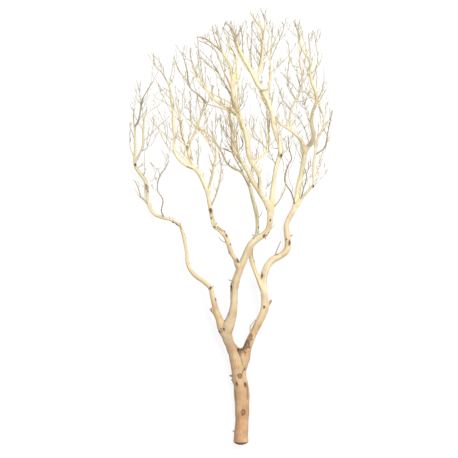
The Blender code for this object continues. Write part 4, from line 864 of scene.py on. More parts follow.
# Every fine twig turns to the free places nearest to it, so together they fill the crown
def growFineTwigs(carriers):
    habit = fineTwigs
    draw = random.Random(habit["seed"])
    spots, headings, owners = [], [], []
    for carrier in carriers:
        ahead, _, _ = framesAlong(carrier["spots"])
        for n in range(2, len(carrier["spots"]), habit["budEvery"]):
            if carrier["spots"][n][1] > habit["budsFrom"]:
                spots.append(Vector(carrier["spots"][n]))
                headings.append(Vector(ahead[n]))
                owners.append((carrier["name"], carrier["thick"][n]))
    buds = len(spots)
    places = freePlaces(draw, spots)
    parents, children = [None] * buds, [0] * buds
    for _ in range(habit["rounds"]):
        tree = KDTree(len(spots))
        for n, spot in enumerate(spots):
            tree.insert(spot, n)
        tree.balance()
        pulls, kept = {}, []
        for place in places:
            near = tree.find_n(place, habit["asked"])
            if near[0][2] < habit["enough"] and near[0][1] >= buds:
                continue
            for spot, n, far in near:
                ahead = (place - spot) / max(far, 0.1)
                if (far < habit["reach"] and children[n] < habit["most"]
                        and ahead.dot(outwardsAt(spot)) > habit["narrow"]):
                    pulls[n] = pulls.get(n, Vector()) + ahead
                    kept.append(place)
                    break
        if not pulls:
            break
        for n, pull in pulls.items():
            stray = Vector([draw.uniform(-1, 1) for _ in range(3)]) * habit["wander"]
            forward = habit["forward"] if n >= buds else habit["budForward"]
            heading = pull.normalized() + headings[n] * forward + outwardsAt(spots[n]) * habit["pull"]
            heading = (heading + stray).normalized()
            spot = spots[n] + heading * habit["step"]
            children[n] += 1
            if spot.y < outlineTop(spot.x) and crownDepth[0] < spot.z < crownDepth[1]:
                spots.append(spot)
                headings.append(heading)
                parents.append(n)
                children.append(0)
        places = kept
    return twigsOfTree(draw, spots, parents, owners, buds)


# Splits the grown tree into twigs: each runs on into its longest branch
def twigsOfTree(draw, spots, parents, owners, buds):
    habit = fineTwigs
    reach = [0] * len(spots)
    load = [habit["tip"] ** habit["forking"]] * len(spots)
    for n in range(len(spots) - 1, buds - 1, -1):
        parent = parents[n]
        reach[parent] = max(reach[parent], reach[n] + 1)
        if reach[parent] == 1 and parent >= buds:
            load[parent] = 0.0
        load[parent] += load[n] + habit["swell"]
    branches = {}
    for n in range(buds, len(spots)):
        branches.setdefault(parents[n], []).append(n)
    twigs = []
    for parent, ways in branches.items():
        ways.sort(key=lambda n: -reach[n])
        for n in ways if parent < buds else ways[1:]:
            route, widths = [spots[parent]], [load[n]]
            while True:
                route.append(spots[n])
                widths.append(load[n])
                if n not in branches:
                    break
                n = branches[n][0]
            if len(route) < habit["fewest"]:
                continue
            most = habit["root"]
            if parent < buds:
                most = min(most, habit["shareOfLimb"] * owners[parent][1])
            widths = [min(w ** (1 / habit["forking"]), most) for w in widths]
            fine, thick = smoothLine(route, widths, habit["facet"])
            root = owners[parent][0] if parent < buds else None
            twigs.append(makeLine("fine", fine, thick, root))
    return twigs


# Meshes

def newHeap():
    return {"points": [], "quads": [], "tris": [], "grain": [], "tone": [], "size": 0}


def addToHeap(heap, points, quads, tris, grain, tone):
    start = heap["size"]
    heap["points"].append(points)
    heap["quads"].append(np.asarray(quads, dtype=int).reshape(-1, 4) + start)
    heap["tris"].append(np.asarray(tris, dtype=int).reshape(-1, 3) + start)
    heap["grain"].append(grain)
    heap["tone"].append(tone)
    heap["size"] += len(points)


def heapToPiece(name, heap, material):
    points = toMetres(np.concatenate(heap["points"]))
    faces = np.concatenate(heap["quads"]).tolist() + np.concatenate(heap["tris"]).tolist()
    return makePiece(name, points, faces, np.concatenate(heap["grain"]) * mm,
                     np.concatenate(heap["tone"]), material)


def putInScene(name, data):
    thing = bpy.data.objects.new(name, data)
    bpy.context.scene.collection.objects.link(thing)
    return thing


def makePiece(name, points, faces, grain, tone, material):
    mesh = bpy.data.meshes.new(name)
    mesh.from_pydata(points.tolist(), [], faces)
    paintPiece(mesh, grain, tone)
    mesh.materials.append(material)
    mesh.shade_smooth()
    return putInScene(name, mesh)


def paintPiece(mesh, grain, tone):
    mesh.attributes.new("grain", "FLOAT_VECTOR", "POINT").data.foreach_set("vector", grain.ravel())
    mesh.attributes.new("tone", "FLOAT_COLOR", "POINT").data.foreach_set("color", tone.ravel())


def framesAlong(spots):
    heading = np.gradient(spots, axis=0)
    heading /= np.linalg.norm(heading, axis=1)[:, None] + 1e-9
    side = np.cross(heading[0], (0.0, 0.0, 1.0))
    if np.linalg.norm(side) < 0.05:
        side = np.array((1.0, 0.0, 0.0))
    across = np.empty_like(spots)
    for n, ahead in enumerate(heading):
        side = side - ahead * side.dot(ahead)
        side = side / np.linalg.norm(side)
        across[n] = side
    return heading, across, np.cross(across, heading)


# A closed tube, pointed at its tip unless it is blunt
def addTube(heap, spots, widths, sides, tone, ripple=None, blunt=False, shift=0.0):
    _, across, up = framesAlong(spots)
    turns = np.arange(sides) * 2 * math.pi / sides
    along = np.concatenate(([0.0], np.cumsum(np.linalg.norm(np.diff(spots, axis=0), axis=1))))
    rings = len(spots) if blunt else len(spots) - 1
    a = widths[:rings, None] / 2 * np.cos(turns)[None, :]
    b = widths[:rings, None] / 2 * np.sin(turns)[None, :]
    if ripple is not None:
        a, b = a * ripple[:rings], b * ripple[:rings]
    rim = spots[:rings, None] + across[:rings, None] * a[..., None] + up[:rings, None] * b[..., None]
    ends = np.array((spots[0], spots[-1]))
    points = np.concatenate((rim.reshape(-1, 3), ends))
    grain = np.stack((np.broadcast_to(along[:rings, None], a.shape), a, b), axis=-1).reshape(-1, 3)
    grain = np.concatenate((grain, ((along[0], 0, 0), (along[-1], 0, 0))))
    grain[:, 0] += shift
    tones = np.broadcast_to(tone, (len(spots), 4)) if np.ndim(tone) == 1 else tone
    tones = np.concatenate((np.repeat(tones[:rings], sides, axis=0), tones[[0, -1]]))
    k = np.arange(sides)
    after = (k + 1) % sides
    base = np.arange(rings - 1)[:, None] * sides
    quads = np.stack((base + k, base + after, base + sides + after, base + sides + k), axis=-1)
    first, last = rings * sides, rings * sides + 1
    top = (rings - 1) * sides
    fan = [np.stack((after, k, np.full(sides, first)), axis=-1),
           np.stack((top + k, top + after, np.full(sides, last)), axis=-1)]
    addToHeap(heap, points, quads.reshape(-1, 4), np.concatenate(fan), grain, tones)


# A limb or twig swells where it leaves its root
def flaredWidths(line, lines, habit):
    widths = line["thick"].copy()
    root = lines.get(line["root"])
    if root is None:
        return widths
    near = min(len(widths), 40)
    own = widths[:near].copy()
    off = np.linalg.norm(line["spots"][:near, None, :] - root["spots"][None, :, :], axis=2)
    nearest = off.argmin(axis=1)
    gap = np.maximum(off.min(axis=1) - root["thick"][nearest] / 2, 0.0)
    widths[:near] *= 1 + habit["flare"] * np.exp(-gap / (habit["flareReach"] * own))
    widths[:near] = np.minimum(widths[:near], np.maximum(own, 0.93 * root["thick"][nearest]))
    return widths


# The wood: trunk and thick limbs, fused into one skin

woodShape = {
    "voxel": 2.35,            # mm, the grid that the limbs are fused on
    "thinnest": 8.0,          # mm, thinner ends are tubes of their own
    "facet": 2.6,             # mm round a limb before fusing
    "flare": 0.42,            # how much a limb swells at its root
    "flareReach": 0.5,        # thicknesses
    "sinew": (0.045, 0.05, 0.022),   # depth of 2, 3 and 5 ridges round a limb, by its radius
    "twist": 0.0075,          # radians per mm that the ridges wind round the trunk
    "smoothing": 7,           # rounds
    "sharp": 50.0,            # degrees, the saw cut's edge is sharper than this
    "grooveDepth": 0.55,      # mm on the trunk
    "dimples": 0.35,          # mm
    "seam": 6.0,              # mm between the ways to two limbs, where the grooves fade out
    "batch": 2000,            # vertices traced at a time
    "softened": ((20, 257, 26, 60), (-39, 308, 30, 60)),   # x, y and half width in mm, rounds
    "sawSlant": 0.5,          # how far the saw cut leans
    "slantReach": 60.0,       # mm of the trunk that the lean is taken up in
    "sawRim": 8.0,            # mm along the upper edge of the cut that is painted dark: darker wood and painted shade
    "butt": 23.0,             # mm, half its thickness
}


def sinewRipple(line, sides):
    turns = np.arange(sides) * 2 * math.pi / sides
    along = np.arange(len(line["spots"])) * sampleStep
    seed = sum(map(ord, line["name"])) * 0.37
    slow = woodShape["twist"] * 46 / np.maximum(line["thick"], 12)
    wind = np.cumsum(slow * sampleStep)[:, None]
    two, three, five = woodShape["sinew"]
    ripple = two * np.sin(2 * turns + 0.8 * wind + seed) + three * np.sin(3 * turns - wind + seed * 2)
    ripple += five * np.sin(5 * turns + 1.3 * wind + seed * 3)
    lumps = 0.03 * np.sin(along / 23 + seed) + 0.02 * np.sin(along / 9.5 + seed * 2)
    return 1 + ripple + lumps[:, None]


# Where the thick part of a line ends
def thickEnd(line):
    big = np.nonzero(line["thick"] >= woodShape["thinnest"])[0]
    if line["blunt"]:
        return len(line["thick"]) - 1
    return int(big[-1]) if len(big) > 12 else 0


def settle(piece):
    ready = piece.evaluated_get(bpy.context.evaluated_depsgraph_get())
    mesh = bpy.data.meshes.new_from_object(ready)
    piece.modifiers.clear()
    old = piece.data
    piece.data = mesh
    bpy.data.meshes.remove(old)


def verticesOf(mesh):
    points = np.empty(len(mesh.vertices) * 3)
    mesh.vertices.foreach_get("co", points)
    return points.reshape(-1, 3)


def normalsOf(mesh):
    normals = np.empty(len(mesh.vertices) * 3)
    mesh.vertex_normals.foreach_get("vector", normals)
    return normals.reshape(-1, 3)


def setVertices(mesh, points):
    mesh.vertices.foreach_set("co", points.ravel())
    mesh.update()


def edgesOf(mesh):
    edges = np.empty(len(mesh.edges) * 2, dtype=np.int32)
    mesh.edges.foreach_get("vertices", edges)
    return edges.reshape(-1, 2)


def noiseAt(points, size):
    return np.array([noise.noise(Vector(point / size)) for point in points])


# For each vertex, the mean of the values at the other ends of its edges
def meanBeside(edges, values):
    ends = np.concatenate((edges[:, 0], edges[:, 1]))
    others = np.concatenate((edges[:, 1], edges[:, 0]))
    count = np.maximum(np.bincount(ends, minlength=len(values)), 1)
    return np.stack([np.bincount(ends, weights=column[others], minlength=len(values)) / count
                     for column in values.T], axis=1)


# Evens out the grid's steps and rounds the crotches, without thinning the limbs
def evenOut(mesh, rounds):
    points, edges = verticesOf(mesh), edgesOf(mesh)
    for _ in range(rounds):
        for pull in (0.6, -0.62):
            points = points + pull * (meanBeside(edges, points) - points)
    setVertices(mesh, points)


# For places in mm: the nearest line sample by its surface, and where round it they are
def traceLines(points, lines):
    spots = np.concatenate([line["spots"] for line in lines])
    thick = np.concatenate([line["thick"] for line in lines])
    along = np.concatenate([np.arange(len(line["spots"])) * sampleStep + 400 * n
                            for n, line in enumerate(lines)])
    frames = [framesAlong(line["spots"]) for line in lines]
    across = np.concatenate([f[1] for f in frames])
    up = np.concatenate([f[2] for f in frames])
    owner = np.concatenate([np.full(len(line["spots"]), n) for n, line in enumerate(lines)])
    best = np.empty(len(points), dtype=int)
    alone = np.empty(len(points))    # 0 where two lines are as near, up to 1
    for start in range(0, len(points), woodShape["batch"]):
        batch = slice(start, start + woodShape["batch"])
        some = points[batch]
        far = (some ** 2).sum(axis=1)[:, None] + (spots ** 2).sum(axis=1) - 2 * some @ spots.T
        gaps = np.sqrt(np.maximum(far, 0)) - thick / 2
        best[batch] = gaps.argmin(axis=1)
        nearest = gaps.min(axis=1)
        others = np.where(owner[best[batch]][:, None] == owner, np.inf, gaps).min(axis=1)
        alone[batch] = np.minimum((others - nearest) / woodShape["seam"], 1)
    off = points - spots[best]
    a = (off * across[best]).sum(axis=1)
    b = (off * up[best]).sum(axis=1)
    return {"owner": owner[best], "along": along[best], "thick": thick[best],
            "a": a, "b": b, "alone": alone}


# Melts the wood's skin together where limbs part
def soften(mesh):
    points, edges = verticesOf(mesh), edgesOf(mesh)
    plan = points[:, :2] / mm + middleOfRoutes[:2]
    for x, y, reach, rounds in woodShape["softened"]:
        far = np.linalg.norm(plan - (x, y), axis=1)
        share = np.clip((1.4 - far / reach) / 0.4, 0, 1)[:, None] * 0.5
        near = edges[(far[edges] < reach * 1.5).all(axis=1)]
        for _ in range(rounds):
            points = points + share * (meanBeside(near, points) - points)
    setVertices(mesh, points)


def buildWood(lines, material):
    heap = newHeap()
    for line in lines.values():
        end = thickEnd(line)
        if end == 0:
            continue
        sides = max(12, round(math.pi * line["thick"].max() / woodShape["facet"]))
        widths = flaredWidths(line, lines, woodShape)[:end + 1]
        ripple = sinewRipple(line, sides)[:end + 1]
        spots = line["spots"][:end + 1]
        if not line["blunt"] and end < len(line["thick"]) - 1:
            taper = min(6, len(line["thick"]) - 1 - end)
            spots = line["spots"][:end + 1 + taper]
            widths = np.concatenate((widths, widths[-1] * np.linspace(0.86, 0.4, taper)))
            ripple = np.concatenate((ripple, np.repeat(ripple[-1:], taper, axis=0)))
        addTube(heap, spots, widths, sides, np.zeros(4), ripple, blunt=line["blunt"])
    wood = heapToPiece("branchWood", heap, material)
    fuse = wood.modifiers.new("fuse", "REMESH")
    fuse.mode = "VOXEL"
    fuse.voxel_size = woodShape["voxel"] * mm
    settle(wood)
    evenOut(wood.data, woodShape["smoothing"])
    soften(wood.data)
    return wood


# Paints marks that run from one place to another, on the upper side: stains, greyer wood and painted shade
def paintAlong(points, normals, marks, values):
    for x, y, startWide, toX, toY, endWide, depth in marks:
        start, way = np.array((x, y)), np.array((toX - x, toY - y))
        share = np.clip(((points[:, :2] - start) @ way) / (way @ way), 0, 1)
        off = np.linalg.norm(points[:, :2] - start - share[:, None] * way, axis=1)
        wide = startWide + (endWide - startWide) * share
        near = (off < wide * 2) & (normals[:, 2] > 0)
        values = np.where(near, np.maximum(values, depth * np.clip(2 - off / wide, 0, 1)), values)
    return values


# Grooves along the grain, dimples, the saw cut, and the flat spots that it lies on
def carveWood(wood, lines, knotPlaces):
    mesh = wood.data
    points = toMm(verticesOf(mesh))
    normals = normalsOf(mesh)
    trace = traceLines(points, lines)
    thick = trace["thick"]
    turn = np.arctan2(trace["b"], trace["a"]) + 0.004 * trace["along"]
    rounds = np.clip(thick / 9, 1.2, 4.2)
    raised = np.empty(len(points))
    for n in range(len(points)):
        across = math.cos(turn[n]) * rounds[n], math.sin(turn[n]) * rounds[n]
        groove = noise.noise(Vector((trace["along"][n] / 46, *across))) * trace["alone"][n]
        lump = noise.noise(Vector(points[n] / 13))
        raised[n] = woodShape["grooveDepth"] * min(1.0, thick[n] / 46) * groove
        raised[n] += woodShape["dimples"] * min(1.0, thick[n] / 18) * lump
    dark = np.zeros(len(points))
    for knot in knotPlaces:
        off = points - knot["spot"]
        near = np.nonzero(np.abs(off).max(axis=1) < knot["size"] * 2.2)[0]
        if not len(near):
            continue
        along = off[near] @ knot["grain"]
        flat = off[near] - np.outer(along, knot["grain"])
        far = np.sqrt((along / knot["long"]) ** 2 + (flat ** 2).sum(axis=1)) / (knot["size"] / 2)
        facing = (normals[near] @ knot["normal"]) > 0.1
        swell = knot["swell"] * np.exp(-(far / 1.25) ** 2) - knot["pit"] * np.exp(-(far / 0.6) ** 2)
        raised[near] += np.where(facing, swell, 0)
        dark[near] = np.maximum(dark[near], np.where(facing, knot["dark"] * np.clip(1.55 - far, 0, 1), 0))
    # darkness of knots and stains, with painted shade along the trunk's right edge
    dark = paintAlong(points, normals, stainsAndShade, dark)
    # olive grey: greyer wood, and painted shade on the left sides
    shade = paintAlong(points, normals, greyAndShadeMarks, np.zeros(len(points)))
    points = points + normals * raised[:, None]
    # painted shade with darker wood, along the upper edge of the saw cut
    high = np.clip(points[:, 2] / woodShape["butt"] - 1, 0.02, 1)
    rim = 1.5 - points[:, 1] / (woodShape["sawRim"] * high)
    dark = np.maximum(dark, np.where(normals[:, 1] > -0.7, np.clip(rim * 3, 0, 1), 0))
    taken = np.clip(1 - points[:, 1] / woodShape["slantReach"], 0, 1)
    lean = woodShape["sawSlant"] * (2 * woodShape["butt"] - points[:, 2])
    points[:, 1] += np.maximum(lean, 0) * taken
    points[:, 2] = np.maximum(points[:, 2], 0.0)
    setVertices(mesh, toMetres(points))
    mesh.shade_smooth()
    mesh.set_sharp_from_angle(angle=math.radians(woodShape["sharp"]))
    return points, trace, dark, shade


# Knots, stubs and scales of bark that the sand left

knotWork = {
    "swell": 0.10,            # height of the wood round a knot, by its size
    "pit": 0.26,
    "steps": (0.0, 0.2, 0.4, 0.54, 0.68, 0.82, 0.97, 1.15),    # rings of an eye, by its half size
    "heights": (-0.07, -0.10, -0.05, 0.03, 0.07, 0.06, 0.0, -0.12),   # and how high each stands
    "darkness": (1.0, 1.0, 1.0, 0.95, 0.8, 0.55, 0.25, 0.0),
    "ringDarkness": (0.45, 0.35, 0.4, 0.8, 1.0, 0.75, 0.3, 0.0),   # a healed one, paler in the middle
    "healedFrom": 14.0,       # mm, and larger ones are healed
    "lift": 0.35,             # mm, so that small ones stay clear of the wood round them
    "corners": 22,
    "unevenness": 0.24,
    "tail": 0.7,              # how far one end is drawn out, at most
    # x, y, size and length to width of the knots on the upper side, in mm
    "seen": (
        (-4, 239, 15, 1.15), (-28, 222, 10, 1.4), (-72, 391, 9, 1.2), (-58, 400, 7, 1.6),
        (-14, 212, 10, 1.5), (14, 209, 10, 1.9),
        (8, 115, 15, 1.3), (12, 262, 6, 1.6), (29, 338, 6, 1.5), (-32, 543, 13, 1.9),
        (-12, 635, 10, 1.8), (5, 594, 8, 1.2), (-36, 691, 6, 1.2), (-50, 721, 8, 1.6),
        (-57, 735, 7, 1.4), (-90, 750, 7, 1.2), (-86, 759, 5, 1.2), (-104, 806, 11, 1.9),
        (-101, 781, 6, 1.5), (34, 712, 7, 1.5), (44, 712, 5, 1.2), (62, 730, 6, 1.3),
        (60, 749, 5, 1.2), (79, 721, 8, 1.4), (95, 731, 5, 1.2), (101, 774, 6, 1.5),
        (47, 632, 8, 1.9), (73, 583, 9, 2.0), (80, 476, 8, 1.2), (98, 594, 6, 1.4),
        (166, 697, 10, 1.9), (122, 663, 6, 1.2), (145, 709, 5, 1.2), (-326, 894, 6, 1.3),
        (-330, 885, 4, 1.3), (-320, 872, 5, 1.3), (-232, 767, 9, 1.4), (-218, 757, 8, 1.6),
        (-193, 726, 6, 1.2), (-87, 502, 8, 1.4), (-363, 965, 8, 1.6), (-252, 1175, 5, 1.3),
        (248, 890, 8, 1.4), (137, 995, 12, 1.2), (-105, 540, 9, 1.2),
    ),
    # x, y, length, thickness of short broken stubs
    "stubs": (
        (-36, 237, 10, 8), (-33, 224, 6, 5), (-28, 48, 6, 5), (170, 719, 9, 3.5),
        (-33, 566, 12, 3), (-26, 560, 10, 2.5), (84, 712, 8, 3.5),
        (-82, 762, 6, 3), (38, 722, 8, 3), (-268, 790, 8, 3),
    ),
    "torn": {
        "from": (-2.5, 304.0),
        "to": (-4.0, 331.0),
        "rise": 4.0,
        "widths": (3.0, 8.0, 12.0, 15.0),
        "corners": 14,
        "darkness": (0.35, 0.35, 0.4, 0.45, 0.5, 0.55, 0.7, 0.9, 1.0),
        "splinters": (-4.4, -2.4, -0.2, 2.0, 4.2),
        "seed": 3,
    },
    "hidden": (70.0, 150.0),  # mm from one knot to the next on the sides and underneath
    "hiddenLong": (1.1, 1.8),     # their length to width
    "seed": 5,
}

barkWork = {
    # x, y, half width, half length, turn in degrees and darkness of the scales on the upper side
    "scales": (
        (24, 352, 8, 33, -25, 0.7), (-72, 745, 5, 13, 52, 0.15), (-225, 760, 4, 16, 60, 0.3),
        (-33, 545, 4, 10, 4, 0.2), (84, 720, 3.5, 11, -50, 0.2), (-323, 884, 4, 9, -5, 0.1),
        (-66, 398, 5, 10, 30, 0.4), (72, 584, 3.5, 12, -5, 0.2),
    ),
    "thickness": 1.0,         # mm
    "raggedness": 0.9,
    "rimDarkness": 0.55,
    "rimRounds": 4,
}

# Stains and painted shade, from one place to another: x, y and half width at both, in mm, and how dark. The
# one from (21, 214) to (22, 160) is painted shade, a dark line along the trunk's right edge
stainsAndShade = (
    (-3, 330, 8.0, -2, 310, 3.0, 0.6), (0, 302, 2.0, 6, 276, 2.0, 0.45), (12, 268, 2.0, 3, 246, 2.0, 0.4),
    (14, 322, 5.0, 30, 370, 5.0, 0.2), (-12, 993, 5.0, -5, 970, 5.0, 0.55),
    (-22, 1000, 8.0, -32, 1075, 8.0, 0.3), (-32, 1075, 8.0, -44, 1150, 7.0, 0.25),
    (17, 330, 2.0, 14, 308, 2.0, 0.35), (21, 214, 3.0, 22, 160, 2.0, 0.4),
    (-52, 755, 4.0, -76, 735, 3.0, 0.2), (-100, 812, 3.0, -104, 800, 3.0, 0.5),
    (5, 925, 2.0, 29, 890, 2.0, 0.6), (60, 918, 1.3, 59, 884, 1.3, 0.6),
    (70, 1215, 3.0, 84, 1219, 3.0, 0.5), (220, 1030, 6.0, 240, 1036, 5.0, 0.25),
    (-184, 1024, 4.0, -186, 1012, 3.0, 0.7), (-171, 998, 2.2, -171, 985, 2.2, 0.6),
    (-185, 957, 2.2, -168, 949, 2.2, 0.6), (105, 1055, 2.0, 104, 1078, 2.0, 0.35),
    (-7, 1090, 3, -8, 1062, 3, 0.3), (127, 1003, 4.0, 140, 988, 5.0, 0.45),
    (249, 1050, 4.0, 246, 1012, 4.0, 0.3),
)

# Olive grey, painted in the same way: greyer wood, and painted shade along the left sides of the trunk and
# the left fork
greyAndShadeMarks = (
    (-36, 320, 9.0, -60, 405, 9.0, 0.45), (-19, 60, 6.0, -22, 240, 6.0, 0.25),
    (-48, 420, 8.0, -46, 470, 6.0, 0.2), (-190, 1010, 8.0, -172, 985, 8.0, 0.3),
    (-14, 1000, 8.0, 4, 960, 8.0, 0.3),
)

# Cracks: width, then x and y along them
cracks = (
    (1.5, (0, 303), (3, 291), (6, 276)), (1.9, (12, 271), (9, 258), (3, 246)),
    (1.4, (21, 216), (22, 190), (21, 158)), (0.9, (0, 194), (2, 172)),
    (0.9, (-6, 55), (-2, 38), (3, 22)), (1.0, (-28, 324), (-31, 296), (-30, 264)),
    (0.9, (9, 90), (11, 66)), (0.9, (-12, 150), (-11, 126)), (1.0, (-42, 470), (-40, 430)),
    (1.0, (74, 420), (84, 452)), (0.9, (-16, 600), (-8, 628)), (1.0, (60, 880), (61, 850)),
)
crackWork = {
    "sunk": 0.3,              # of its width, into the wood
    "ends": 0.35,             # its thickness there, by that in the middle
    "corners": 6,
    "tone": (0.8, 0.85, 0.0, 0.5),     # tan, dark, grey and straw
}


def treeOf(wood):
    return BVHTree.FromObject(wood, bpy.context.evaluated_depsgraph_get())


# Where a plumb line meets the wood's upper side, in metres, and the normal there
def dropOnto(tree, x, y):
    above = toMetres(np.array((x, y, plumbFrom)))
    hit, normal, _, _ = tree.ray_cast(Vector(above), -zUp)
    return hit, normal


# A crack is a dark thread let into the wood
def addCracks(heap, wood):
    tree = treeOf(wood)
    for width, *way in cracks:
        flat = [Vector((x, y, 0.0)) for x, y in way]
        route, _ = smoothLine(flat, [width] * len(flat))
        spots = []
        for spot in route:
            hit, normal = dropOnto(tree, spot.x, spot.y)
            if hit is not None:
                spots.append(toMm(np.array(hit - normal * width * crackWork["sunk"] * mm)))
        share = np.linspace(0, math.pi, len(spots))
        widths = width * (crackWork["ends"] + (1 - crackWork["ends"]) * np.sin(share))
        addTube(heap, np.array(spots), widths, crackWork["corners"], crackWork["tone"])


def placeKnots(wood, lines):
    draw = random.Random(knotWork["seed"])
    tree = treeOf(wood)
    spots = np.concatenate([line["spots"] for line in lines])
    headings = np.concatenate([framesAlong(line["spots"])[0] for line in lines])

    def onWood(x, y):
        hit, normal = dropOnto(tree, x, y)
        if hit is None:
            nearest = np.abs(spots[:, :2] - (x, y)).sum(axis=1).argmin()
            beside = toMetres(np.array((x, y, spots[nearest][2])))
            hit, normal, _, _ = tree.find_nearest(Vector(beside))
        return toMm(np.array(hit)), np.array(normal)

    def knotAt(spot, normal, size, long):
        grain = headings[np.linalg.norm(spots - spot, axis=1).argmin()]
        grain = grain - normal * grain.dot(normal)
        grain = grain / np.linalg.norm(grain)
        return {"spot": spot, "normal": normal, "grain": grain, "size": size, "long": long,
                "swell": knotWork["swell"] * size, "pit": knotWork["pit"] * size, "dark": 0.9}

    knots = [knotAt(*onWood(x, y), size, long) for x, y, size, long in knotWork["seen"]]
    stubs = [(*onWood(x, y), length, wide) for x, y, length, wide in knotWork["stubs"]]
    for line in lines:
        s = draw.uniform(*knotWork["hidden"])
        end = thickEnd(line) * sampleStep
        while s < end and not line["blunt"]:
            n = int(s / sampleStep)
            _, across, up = framesAlong(line["spots"])
            roll = draw.uniform(0, 2 * math.pi)
            out = across[n] * math.cos(roll) + up[n] * math.sin(roll)
            place = line["spots"][n] + out * line["thick"][n] * 0.5
            size = min(draw.uniform(0.22, 0.42) * line["thick"][n] + 2, 14)
            if out[2] < 0.25 and place[2] > 6:
                hit, normal, _, _ = tree.find_nearest(Vector(toMetres(place)))
                long = draw.uniform(*knotWork["hiddenLong"])
                knots.append(knotAt(toMm(np.array(hit)), np.array(normal), size, long))
            s += draw.uniform(*knotWork["hidden"])
    return knots, stubs


# A torn stub lies along the wood and stands off it further and further
def addTornStub(heap, wood):
    torn = knotWork["torn"]
    height = dropOnto(treeOf(wood), *torn["from"])[0].z / mm
    spots, widths = [], []
    for share in np.linspace(0, 1, 9):
        x, y = (a + (b - a) * share for a, b in zip(torn["from"], torn["to"]))
        spots.append((x, y, height + torn["rise"] * share - spread(torn["widths"], share) * 0.3))
        widths.append(spread(torn["widths"], share))
    corners = np.arange(torn["corners"])
    ripple = 1 + 0.10 * np.sin(np.outer(np.arange(9) * 0.4, np.ones(len(corners))) + 2.2 * corners)
    tone = np.zeros((9, 4))
    tone[:, 0] = 1.0
    tone[:, 1] = torn["darkness"]
    spots = np.array(spots)
    addTube(heap, spots, np.array(widths), len(corners), tone, ripple, blunt=True)
    # its torn end: splinters of unequal length
    ahead = (spots[-1] - spots[-2]) / np.linalg.norm(spots[-1] - spots[-2])
    draw = random.Random(torn["seed"])
    for offset in torn["splinters"]:
        root = spots[-1] + (offset, -5.0, draw.uniform(-2, 2))
        way = ahead + (draw.uniform(-0.25, 0.25), 0.0, draw.uniform(-0.1, 0.3))
        steps = root + np.outer(np.linspace(0, draw.uniform(7, 13), 5), way)
        addTube(heap, steps, np.array((5.0, 5.0, 4.6, 3.4, 1.2)), 5, (0.9, 0.85, 0.0, 0.0))


def addKnot(heap, knot, draw):
    corners = knotWork["corners"]
    turns = np.arange(corners) * 2 * math.pi / corners
    beside = np.cross(knot["normal"], knot["grain"])
    uneven = 1 + knotWork["unevenness"] * np.sin(3 * turns + draw.uniform(0, 6)) * draw.uniform(0.3, 1)
    uneven += 0.4 * knotWork["unevenness"] * np.sin(5 * turns + draw.uniform(0, 6))
    drawnOut = np.maximum(np.cos(turns - draw.choice((0.3, 2.9))), 0) ** 5
    uneven += draw.uniform(0, knotWork["tail"]) * drawnOut
    healed = knot["size"] >= knotWork["healedFrom"]
    darkness = knotWork["ringDarkness" if healed else "darkness"]
    rings = []
    for step, height in zip(knotWork["steps"][1:], knotWork["heights"][1:]):
        reach = step * knot["size"] / 2 * uneven
        lift = knot["swell"] * math.exp(-(step / 1.25) ** 2) + height * knot["size"]
        lift += knotWork["lift"] * (1 - step)
        wave = 0.02 * knot["size"] * np.sin(3 * turns + draw.uniform(0, 6))
        rings.append(knot["spot"] + np.outer(np.cos(turns) * reach * knot["long"], knot["grain"])
                     + np.outer(np.sin(turns) * reach, beside)
                     + np.outer(lift + wave, knot["normal"]))
    rise = knot["swell"] + knotWork["heights"][0] * knot["size"] + knotWork["lift"]
    middle = knot["spot"] + knot["normal"] * rise
    below = knot["spot"] - knot["normal"] * 0.3 * knot["size"]
    points = np.concatenate(rings + [middle[None], below[None]])
    k = np.arange(corners)
    after = (k + 1) % corners
    base = np.arange(len(rings) - 1)[:, None] * corners
    quads = np.stack((base + k, base + corners + k, base + corners + after, base + after), axis=-1)
    last = (len(rings) - 1) * corners
    tris = np.concatenate((np.stack((k, after, np.full(corners, len(points) - 2)), axis=-1),
                           np.stack((last + after, last + k, np.full(corners, len(points) - 1)), axis=-1)))
    tone = np.zeros((len(points), 4))
    tone[:-2, 1] = np.repeat(darkness[1:], corners)
    tone[-2, 1] = darkness[0]
    tone[:, 0] = np.interp(points[:, 1], toneWork["along"], toneWork["tan"]) - 0.15 + 0.4 * tone[:, 1]
    off = points - knot["spot"]
    grain = np.stack((off @ knot["grain"], off @ beside, off @ knot["normal"]), axis=1) * (0.4, 1, 1)
    addToHeap(heap, points, quads.reshape(-1, 4), tris, grain + draw.uniform(0, 900), tone)


def addStub(heap, spot, normal, length, wide, draw):
    lean = np.array((draw.uniform(-0.3, 0.3), draw.uniform(0.1, 0.7), 0.0))
    heading = normal + lean
    heading = heading / np.linalg.norm(heading)
    steps = np.array((-0.5, 0.0, 0.35, 0.7, 1.0)) * length
    spots = spot + np.outer(steps, heading)
    widths = wide * np.array((1.5, 1.35, 1.0, 0.85, 0.72))
    tone = np.zeros((len(steps), 4))
    tone[:, 0] = 0.5
    tone[:, 1] = (0.2, 0.3, 0.35, 0.6, 0.95)
    ripple = 1 + 0.12 * np.sin(np.outer(np.arange(len(steps)), np.ones(9)) + 2 * np.arange(9))
    addTube(heap, spots, widths, 9, tone, ripple, blunt=True, shift=draw.uniform(0, 900))


def buildKnots(knots, stubs, wood, material):
    draw = random.Random(knotWork["seed"] + 1)
    heap = newHeap()
    for knot in knots:
        addKnot(heap, knot, draw)
    for spot, normal, length, wide in stubs:
        addStub(heap, spot, normal, length, wide, draw)
    addTornStub(heap, wood)
    addCracks(heap, wood)
    return heapToPiece("knotsAndStubs", heap, material)


